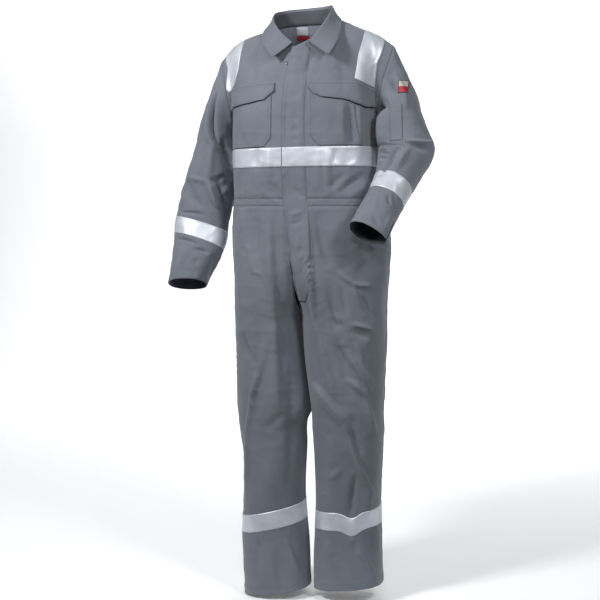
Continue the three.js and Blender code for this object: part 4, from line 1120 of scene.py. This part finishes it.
panels = {
    "front_right": (front_right, 0.315, 0.48),
    "front_left": (front_left, 0.335, 0.51),
    "back_upper": (back_upper, 0.575, 0.49),
    "waistband_front_right": (band_right, 0.271, 0.021),
    "waistband_front_left": (band_left, 0.295, 0.021),
    "waistband_back": (band_back, 0.528, 0.021),
    "leg_front_right": (leg_front_right, 0.345, 1.11),
    "leg_back_right": (leg_back_right, 0.33, 1.12),
    "leg_front_left": (leg_front_left, 0.355, 1.11),
    "leg_back_left": (leg_back_left, 0.33, 1.115),
}
for name, (cloth, width, length) in panels.items():
    high = hem(cloth, HEM_TALL) if name.startswith("leg") else 0.0
    # The legs' insides take the near-black painted shade.
    back = TWILL_PAINTED_DEEP_SHADE if name.startswith("leg") else TWILL_INSIDE
    item = shell("cloth_" + name, cloth, -CLOTH, high, TWILL, back, ends=0.1, sides=0.1)
    cloth_sheet(mount(item, "cloth", name), cloth, width, length)
for name, cloth, gone, back, width, length in (
    ("right", sleeve_right, None, TWILL_INSIDE, 0.435, 0.645),
    # The left sleeve's inside, seen through its cuff, is painted darker as shade.
    ("left", sleeve_left, open_slit(sleeve_left), TWILL_PAINTED_SHADE, 0.46, 0.63),
):
    item = shell("cloth_sleeve_" + name, cloth, -CLOTH, hem(cloth, CUFF_TALL), TWILL, back, ends=0.1, gone=gone)
    mount(item, "cloth", "sleeve_top_" + name, "sleeve_under_" + name)
    cloth_sheet(item, cloth, width, length)


# Collar
def neck_edge(row, depth):
    """Line along a row of the panels, inside them, from the right front over the back to the left front."""
    count = int((half_u <= NECK_SHARE).sum())
    middle = len(half_u) - 1
    parts = (
        (front_right, slice(-1, -count - 1, -1)),
        (back_upper, slice(middle + count - 1, middle - count, -1)),
        (front_left, slice(count - 1, None, -1)),
    )
    return np.concatenate([c.points[row, cols] - c.normals[row, cols] * depth for c, cols in parts])


def collar_cloth():
    """Leaf edge, up to the fold, over it, down the stand and a little way in behind the neckline."""
    t = np.linspace(0, 1, 141)
    c = along(COLLAR, t)
    seam, fold, edge = (point(c[k + "x"], c[k + "y"], c[k + "z"]) for k in "nke")
    line, under = walk(neck_edge(0, 2.4), 900), walk(neck_edge(2, 2.4), 900)
    near = np.argmin(np.linalg.norm(seam[:, None] - line[None], axis=-1), 1)
    inside = (ease(0.01, 0.08, t) * (1 - ease(0.92, 0.99, t)))[:, None]
    seam = lerp(seam, line[near], inside)
    below = under[near] - line[near]
    below = seam + lerp((seam - fold) * 0.05, unit(below) * 7, inside)
    rows = []
    for s in np.linspace(1, 0.16, LEAF_ROWS):
        belly = 3.0 * math.sin(math.pi * s)
        out = unit(np.cross(np.gradient(fold, axis=0), edge - fold))
        rows.append(fold + (edge - fold) * s - out * belly)
    first, last = rows[-1], seam + (fold - seam) * 0.84
    for s in np.linspace(0, 1, 9)[1:-1]:
        rows.append((1 - s) ** 2 * first + 2 * s * (1 - s) * (fold + (fold - seam) * 0.06) + s * s * last)
    for s in np.linspace(0.84, 0, 14):
        rows.append(seam + (fold - seam) * s)
    rows += [lerp(seam, below, 0.5), below]
    made = Cloth(np.array(rows))
    made.points = made.points + made.normals * (0.8 * value_noise(made.points / 30 + 7, 23))[..., None]
    # The leaf rests on the shoulders and the fronts.
    rest = Skin(wide_front, back_upper)
    for j in range(LEAF_ROWS):
        for i in range(len(t)):
            place, _, _, _ = rest.tree.find_nearest(made.points[j, i])
            face = rest.facing(place)
            gap = float(np.dot(made.points[j, i] - np.array(place), face))
            if gap < REST_GAP:
                made.points[j, i] += face * (REST_GAP - gap)
    made.aim()
    return made


collar = collar_cloth()
item = shell("cloth_collar", collar, -HALF_COLLAR, HALF_COLLAR, TWILL, TWILL_PAINTED_SHADE)
# The collar's inside and its stand are painted darker as the shade inside the neck.
count, cols = collar.points.shape[:2]
for polygon in item.data.polygons[STAND_ROW * (cols - 1) : (count - 1) * (cols - 1)]:
    polygon.material_index = 1
cloth_sheet(mount(item, "cloth", "collar"), collar, 0.66, 0.095)

# Trims
front_skin = Skin(wide_front, wide_band, wide_legs)


def placket_rise(x, z):
    """How far the placket's face stands off the front: loose at its free edge, flat at its sewn one."""
    row = along(PLACKET, z, "z")
    share = (x - row["free"]) / (row["sewn"] - row["free"])
    loose = 1.5 * np.exp(-((np.clip(share, 0, 1) / 0.2) ** 2)) * (0.7 + 0.3 * np.sin(z / 37.0))
    thick = lerp(0.05, TRIM, 1 - ease(0.88, 1, share))
    return np.where((share > -0.02) & (share < 1), loose + thick, 0), loose


def free_edge(places):
    """Walls on the placket's free side, painted dark as the shadow in the gap under that edge."""
    row = along(PLACKET, places[:, 2], "z")
    return places[:, 0] < (row["free"] + row["sewn"]) / 2


down = np.linspace(PLACKET["z"][0], PLACKET["z"][-1], 200)[:, None]
row = along(PLACKET, down, "z")
x = lerp(row["free"], row["sewn"], steps(22, 0, 1)[None, :])
z = np.broadcast_to(down, x.shape)
placket = patch(front_skin, np.stack([x, z], -1))
rise, loose = placket_rise(lerp(x, (row["free"] + row["sewn"]) / 2, 0.001), z)
# The placket's inside and its free edge's walls are painted near black as shade.
item = sew_on("placket", "cloth_placket", placket, LIFT + loose, LIFT + rise, TWILL, back=TWILL_PAINTED_DEEP_SHADE, rim=free_edge)
cloth_sheet(item, placket, 0.063, 0.68)

POCKETS = {
    "chest_pocket_right": dict(
        top=[(-168, -190), (-57, -186)], low=[(-178, -339), (-77, -337), (-58, -313)], left=[(-176, -250)],
        cut=(0.155, 0.153),
    ),
    "chest_pocket_left": dict(
        top=[(47, -180), (150, -196)], low=[(47, -311), (68, -335), (176, -332.5)], right=[(163, -290)],
        cut=(0.131, 0.149),
    ),
}
FLAPS = {
    "pocket_flap_right": dict(
        top=[(-186, -196), (-156, -175), (-50, -171)],
        low=[(-175, -236), (-164, -230), (-132, -225), (-77, -216), (-51, -194)], cut=(0.165, 0.055),
    ),
    "pocket_flap_left": dict(
        top=[(50, -171), (157, -169), (200, -188)],
        low=[(42, -186), (55, -202), (73, -210), (141, -218), (178, -234), (198, -228)], cut=(0.206, 0.053),
    ),
}
for name, plan in (*POCKETS.items(), *FLAPS.items()):
    cut, low = plan.pop("cut"), LIFT
    plan.update(dict(cols=52, rows=18) if name in FLAPS else dict(cols=44, rows=52))
    piece = patch(front_skin, coons(**plan))
    if name in FLAPS:
        low = 2 * LIFT + TRIM + FLAP_FALL * ease(0.15, 1, np.linspace(0, 1, plan["rows"]))[:, None]
    # A flap's underside is painted near black as the shade beneath it.
    back = TWILL_PAINTED_DEEP_SHADE if name in FLAPS else None
    item = sew_on(name, "cloth_" + name, piece, low, low + TRIM, TWILL, back=back)
    cloth_sheet(item, piece, *cut)

# Press stud beside the placket's free edge, its domed head in rings from the rim to the middle.
STUD = dict(x=-21.5, z=-121, radius=4.5)
ring = np.linspace(0, 2 * math.pi, 28, endpoint=False)
reach = STUD["radius"] * np.array([0.02, 0.3, 0.6, 0.85, 0.97, 0.999])[:, None]
head = np.array([1.5, 1.5, 1.4, 1.3, 1.0, 0.5])[:, None]
stud = Cloth(*front_skin.front(STUD["x"] + reach * np.cos(ring), STUD["z"] + reach * np.sin(ring)), closed=True)
sew_on("placket_stud", "metal_placket_stud", stud, 0.2, head, STEEL, "metal")


# Tapes
def row_at(z):
    """Fractional row of the upper panels at a height below the underarm."""
    return ARM + np.interp(-z, -np.concatenate([[UNDERARM_Z], chest_z]), np.arange(len(chest_z) + 1))


def band_of(cloth, rows, cols, closed=False):
    return Cloth(*cloth.at(rows[:, None], cols[None, :]), closed=closed)


CHEST_HIGH, CHEST_LOW = -338, -389
CHEST_CUTS = (-28.6, -27.2)  # where the right tape ends under the placket and the left one on it
tape_rows = row_at(np.linspace(CHEST_HIGH, CHEST_LOW, 13))
front_cols = np.arange(wide_front.points.shape[1])
middle_x = wide_front.at(row_at((CHEST_HIGH + CHEST_LOW) / 2), front_cols)[0][:, 0]
cut_right, cut_left = np.interp(CHEST_CUTS, middle_x, front_cols)
left_cols = np.insert(np.arange(math.ceil(cut_left + 0.3), len(middle_x) - 0.5), 0, cut_left)
piece = band_of(wide_front, tape_rows, left_cols)
over = LIFT + placket_rise(piece.points[..., 0], piece.points[..., 2])[0]
tape("chest_tape_front_left", piece, np.maximum(over, LIFT + 0.25) + LIFT * (over > LIFT))
tape("chest_tape_front_right", band_of(wide_front, tape_rows, np.append(np.arange(0, cut_right - 0.3), cut_right)))
tape("chest_tape_back", band_of(back_upper, tape_rows, np.arange(float(back_upper.points.shape[1]))))

for side, cloth, ends in (("right", sleeve_right, (0.554, 0.689)), ("left", sleeve_left, (0.618, 0.76))):
    rows = CAP_ROWS + np.linspace(*ends, 15) * LOWER_ROWS
    tape("sleeve_tape_" + side, band_of(cloth, rows, np.arange(float(cloth.points.shape[1])), closed=True))

for name, side, front, back, ends in (
    ("right", RIGHT, leg_front_right, leg_back_right, (-1318, -1368)),
    ("left", LEFT, leg_front_left, leg_back_left, (-1308, -1358)),
):
    z = leg_rows(side)
    rows = np.interp(-np.linspace(*ends, 14), -z, np.arange(len(z)))
    a, b = (band_of(c, rows, np.arange(c.points.shape[1] - 1.0)) for c in (front, back))
    points, normals = (np.concatenate(pair, 1) for pair in ((a.points, b.points), (a.normals, b.normals)))
    tape("leg_tape_" + name, Cloth(points, normals, closed=True))


# Shoulder tapes: rays come in level at the front, turn over the shoulder and end level at the back.
TURN_Z = -125
SHOULDER_TAPES = {
    "right": dict(
        low=[(-204, -176), (-196, -187), (-172, -169)],
        front_in=[(-140, -165), (-125, -161)], front_out=[(-140, -202), (-125, -201)],
        top=(-154, -211), back_in=[(-125, -149), (-335, -130)],
        back_out=[(-125, -197), (-200, -186), (-335, -174)],
    ),
    "left": dict(
        low=[(154, -160), (199, -181)],
        front_in=[(-140, 156), (-125, 158)], front_out=[(-140, 203), (-125, 205)],
        top=(172, 222), back_in=[(-125, 165), (-333, 138)],
        back_out=[(-125, 208), (-200, 196), (-333, 183)],
    ),
}
upper_skin = Skin(wide_front, back_upper)


def between_lines(t, end, z, share):
    """Places across a tape at a height, from its inner to its outer line."""
    inner, outer = (np.interp(z, *zip(*sorted(t[end + way]))) for way in ("_in", "_out"))
    return lerp(inner, outer, share)


TAPE_COLS = 15
START_Z = -140
FAR = 400.0
FORTH = (0.0, 1.0, 0.0)
for side, t in SHOULDER_TAPES.items():
    s = np.linspace(0, 1, TAPE_COLS)
    low = walk(t["low"], TAPE_COLS)
    if side == "right":
        low = low[::-1]
    start = point(lerp(t["front_in"][0][1], t["front_out"][0][1], s), START_Z, 0)[:, :2]
    lines = (lerp(low, start, k) for k in np.linspace(0, 1, 12)[:-1])
    rays = [(point(line[:, 0], -FAR, line[:, 1]), FORTH) for line in lines]
    for z in np.linspace(START_Z, TURN_Z, 5)[:-1]:
        rays.append((point(between_lines(t, "front", z, s), -FAR, z), FORTH))
    for k in np.linspace(0, 1, 61):
        if k < 0.5:
            a, b, share = (t["front_in"][-1][1], t["front_out"][-1][1]), t["top"], k * 2
        else:
            a, b, share = t["top"], (t["back_in"][0][1], t["back_out"][0][1]), k * 2 - 1
        share = ease(0, 1, share)
        xs = lerp(lerp(a[0], b[0], share), lerp(a[1], b[1], share), s)
        way = (0.0, math.cos(k * math.pi), -math.sin(k * math.pi))
        rays.append((point(xs, -way[1] * 300, TURN_Z - way[2] * 300), way))
    for z in np.linspace(TURN_Z, -334, 46)[1:]:
        rays.append((point(between_lines(t, "back", z, s), FAR, z), (0.0, -1.0, 0.0)))
    origins, ways = (np.array(v) for v in zip(*rays))
    # The rays run from the front low end up and over, a Cloth's rows run down, so both ways are turned.
    flip = slice(None, None, -1 if side == "left" else 1)
    tape("shoulder_tape_" + side, Cloth(*(v[::-1][:, flip] for v in upper_skin.find(origins, ways[:, None]))))


# Pen pocket and patch on the left sleeve.
sleeve_skin = Skin(sleeve_left)
piece = patch(sleeve_skin, coons([(242, -228), (274, -226)], [(246, -322), (279, -320)], 14, 34))
cloth_sheet(sew_on("pen_pocket", "cloth_pen_pocket", piece, LIFT, LIFT + TRIM, TWILL), piece, 0.036, 0.098)
plan = coons([(263, -163), (288, -163)], [(263, -197), (288, -197)], 12, 14)
flat = (plan - (275.5, -163)) * (1, -1)
sew_on("sleeve_patch", "patch_sleeve", patch(sleeve_skin, plan), LIFT, LIFT + PATCH, WOVEN_PATCH, "patch", flat=flat)

# Neck label inside the back, in two parts.
back_skin = Skin(back_upper)
for name, node_name, slot, top, low, look in (
    ("label_neck", "neck_label", "label", -4, -26, WOVEN_GREY),
    ("label_neck_band", "neck_label_band", "label_band", -26.3, -39, WOVEN_RED),
):
    plan = coons([(-29, top), (4, top)], [(-29, low), (4, low)], 14, 10)
    found = back_skin.find(point(plan[..., 0], 0.0, plan[..., 1]), np.array(FORTH))
    piece = Cloth(*(v[:, ::-1] for v in found))
    sew_on(node_name, name, piece, -CLOTH - LIFT - 0.5, -CLOTH - LIFT, look, slot)


# Sewing
def stitch_tree(thread):
    """Points along each seam line, one turned stitch on each; sizes in metres."""
    tree = bpy.data.node_groups.new("stitch_rows", "GeometryNodeTree")
    for way in ("INPUT", "OUTPUT"):
        tree.interface.new_socket("Geometry", in_out=way, socket_type="NodeSocketGeometry")
    given = node(tree, "NodeGroupInput").outputs[0]
    curve = node(tree, "GeometryNodeMeshToCurve", {"Mesh": given}).outputs[0]
    places = node(tree, "GeometryNodeCurveToPoints", {"Curve": curve, "Length": 0.0034}, mode="LENGTH")
    up = node(tree, "GeometryNodeInputNamedAttribute", {"Name": "up"}, data_type="FLOAT_VECTOR")
    way = node(tree, "FunctionNodeAlignRotationToVector", {"Vector": places.outputs["Tangent"]}, axis="X")
    seat = node(
        tree, "FunctionNodeAlignRotationToVector",
        {"Rotation": way.outputs[0], "Vector": up.outputs[0]}, axis="Z", pivot_axis="X",
    )
    bead = node(tree, "GeometryNodeMeshUVSphere", {"Segments": 4, "Rings": 2, "Radius": 0.5})
    vary = node(tree, "FunctionNodeRandomValue", {2: 0.85, 3: 1.1, "Seed": 4}, data_type="FLOAT")
    sized = node(
        tree, "ShaderNodeVectorMath", {0: (0.0025, 0.0007, 0.0005), "Scale": vary.outputs[1]}, operation="SCALE"
    )
    rows = node(
        tree, "GeometryNodeInstanceOnPoints",
        {
            "Points": places.outputs["Points"], "Instance": bead.outputs[0],
            "Rotation": seat.outputs[0], "Scale": sized.outputs[0],
        },
    )
    real = node(tree, "GeometryNodeRealizeInstances", {"Geometry": rows.outputs[0]})
    dyed = node(tree, "GeometryNodeSetMaterial", {"Geometry": real.outputs[0], "Material": thread})
    node(tree, "NodeGroupOutput", {"Geometry": dyed.outputs[0]})
    return tree


seams = {"cloth": [], "tape": []}


def sew(group, line, lift, start=0, stop=None):
    """Keeps a seam line, a pair of places and directions, at a height above the cloth."""
    places, ways = line
    places, ways = places[start:stop], ways[start:stop]
    seams[group].append((places + ways * lift, ways))


def inset(cloth, edge, distance):
    """Line on a cloth at a distance inside one of its edges."""
    axis = 1 if edge in ("left", "right") else 0
    back = edge in ("right", "low")
    count = cloth.points.shape[axis]
    run = run_along(np.flip(cloth.points, axis) if back else cloth.points, axis)
    at = np.array([np.interp(distance, line, np.arange(count)) for line in (run if axis else run.T)])
    at = count - 1 - at if back else at
    if axis:
        return cloth.at(np.arange(len(at)), at)
    line = cloth.at(at, np.arange(len(at)))
    return [np.concatenate([v, v[:1]]) for v in line] if cloth.closed else line


def thread_mesh(name, group, thread):
    mesh = bpy.data.meshes.new(name + "_lines")
    places, ups = (np.concatenate(parts) for parts in zip(*seams[group]))
    edges, base = [], 0
    for line, _ in seams[group]:
        edges += [(k, k + 1) for k in range(base, base + len(line) - 1)]
        base += len(line)
    mesh.from_pydata((places * MM).tolist(), edges, [])
    mesh.attributes.new("up", "FLOAT_VECTOR", "POINT").data.foreach_set("vector", ups.ravel())
    rows = place_object(name, mesh)
    rows.modifiers.new("stitches", "NODES").node_group = stitch_tree(thread)
    view = bpy.context.evaluated_depsgraph_get()
    whole_mesh = bpy.data.meshes.new_from_object(rows.evaluated_get(view))
    rows.modifiers.clear()
    rows.data = whole_mesh
    rows.data.name = name
    whole_mesh.shade_smooth()
    mount(rows, group)


def sew_rows(cloth, edges, distances, lift=ON, group="cloth"):
    """Rows of stitches beside the named edges, at each distance."""
    for edge in edges.split():
        for distance in distances:
            sew(group, inset(cloth, edge, distance), lift)


ONE, TWO = (3,), (3, 9)
for cloth, edges, distances in (
    (front_right, "left low", TWO), (front_left, "right low", TWO),
    (back_upper, "low", ONE), (back_upper, "top", TWO),
    (band_right, "top low", ONE), (band_left, "top low", ONE), (band_back, "top low", ONE),
    (leg_front_right, "left", TWO), (leg_front_right, "right", ONE),
    (leg_front_left, "right", TWO), (leg_front_left, "left", ONE),
    (leg_back_right, "left", ONE), (leg_back_left, "right", ONE),
):
    sew_rows(cloth, edges, distances)
for cloth in (leg_front_right, leg_front_left, leg_back_right, leg_back_left):
    sew_rows(cloth, "low", (HEM_TALL - 3,), ON + HEM_THICK)
for cloth in (sleeve_right, sleeve_left):
    sew_rows(cloth, "top", TWO)
    line = inset(cloth, "low", CUFF_TALL - 3)
    if cloth is sleeve_right:
        sew("cloth", line, ON + HEM_THICK)
        continue
    gap = int((1 - SLIT["turn"]) * cloth.points.shape[1])
    sew("cloth", line, ON + HEM_THICK, 0, gap - 1)
    sew("cloth", line, ON + HEM_THICK, gap + 3)
    run = np.nonzero(near_edges(cloth, "low")[:, gap] < SLIT["long"] + 4)[0]
    for side in (-1.2, 2.2):
        sew("cloth", cloth.at(run, np.full(len(run), gap + side)), ON + HEM_THICK)
sew_rows(collar.cut(slice(0, 24)), "left right top", (6,), HALF_COLLAR + ON)
sew_rows(placket, "right", (3,), LIFT + 1.1)
sew_rows(placket, "right", (9,), LIFT + TRIM + ON)
sew_rows(placket, "left", (6,), LIFT + TRIM + 1.2 + ON)
for name in POCKETS:
    sew_rows(pieces[name], "left right low", (2, 8), LIFT + TRIM + ON)
    sew_rows(pieces[name], "top", (22,), LIFT + TRIM + ON)
for name in FLAPS:
    for edge, fall in (("left", 2.0), ("right", 2.0), ("low", FLAP_FALL), ("top", 0.6)):
        sew_rows(pieces[name], edge, (5,), 2 * (LIFT + TRIM) + fall + ON)
sew_rows(pieces["pen_pocket"], "left right low", (2,), LIFT + TRIM + ON)
for name, edges in (
    ("shoulder_tape_right", "left right"), ("shoulder_tape_left", "left right"),
    ("chest_tape_front_right", "top low"), ("chest_tape_back", "top low"),
    ("sleeve_tape_right", "top low"), ("sleeve_tape_left", "top low"),
    ("leg_tape_right", "top low"), ("leg_tape_left", "top low"),
):
    sew_rows(pieces[name], edges, (2.5,), LIFT + TAPE + ON, "tape")
thread_mesh("thread_seams", "cloth", THREAD)
thread_mesh("thread_tapes", "tape", PALE_THREAD)

# Floor, light and camera
FLOOR_Z = -1.566
SWEEP_Y, SWEEP_RADIUS = 3.2, 1.5
profile = [(-0.3, 0.0), (SWEEP_Y, 0.0)]
profile += [
    (SWEEP_Y + SWEEP_RADIUS * math.sin(a), SWEEP_RADIUS - SWEEP_RADIUS * math.cos(a))
    for a in np.linspace(0.1, math.pi / 2, 14)
]
profile += [(SWEEP_Y + SWEEP_RADIUS, 4.2)]
verts = [(x, y, FLOOR_Z + z) for y, z in profile for x in (-3.2, 3.2)]
faces = [(2 * k, 2 * k + 1, 2 * k + 3, 2 * k + 2) for k in range(len(profile) - 1)]
floor_mesh = bpy.data.meshes.new("studio_floor")
floor_mesh.from_pydata(verts, [], faces)
floor_mesh.materials.append(PAPER)
floor_mesh.shade_smooth()
place_object("studio_floor", floor_mesh)


for name, place, aim, size, power_w in (
    ("key_left", (-1.4, -1.7, 0.8), (0.0, 0, -0.3), (0.45, 0.45), 62),
    ("fill_front", (0.5, -2.7, 0.6), (0.0, 0, -0.4), (0.4, 0.4), 16),
    ("fill_right", (1.5, -1.5, 0.6), (0.1, 0, -0.2), (0.5, 0.5), 24),
    ("backdrop_wash", (0, 2.4, 2.4), (0, 4.6, 0.0), (6.0, 1.0), 200),
):
    data = bpy.data.lights.new(name, "AREA")
    data.shape, data.size, data.size_y, data.energy = "RECTANGLE", *size, power_w
    lamp = place_object(name, data)
    lamp.location = place
    lamp.rotation_euler = (Vector(aim) - Vector(place)).to_track_quat("-Z", "Y").to_euler()
world = bpy.data.worlds.new("studio")
bpy.context.scene.world = world
world.use_nodes = True
world.node_tree.nodes["Background"].inputs[0].default_value = (0.92, 0.95, 1.0, 1)
world.node_tree.nodes["Background"].inputs[1].default_value = 0.06
bpy.context.scene.view_settings.view_transform = "Standard"

camera = bpy.data.cameras.new("camera")
FOCAL_PX = 1176.5  # on the 600 px frame
camera.sensor_width = 36.0
camera.lens = camera.sensor_width * FOCAL_PX / 600
camera_object = place_object("camera", camera)
turn, pitch = math.radians(11), math.atan(97 / FOCAL_PX)
camera_object.location = (0.6039, -3.1425, -0.4825)

aim = Vector((-math.sin(turn) * math.cos(pitch), math.cos(turn) * math.cos(pitch), -math.sin(pitch)))
camera_object.rotation_euler = aim.to_track_quat("-Z", "Y").to_euler()
bpy.context.scene.camera = camera_object

bpy.context.view_layer.update()
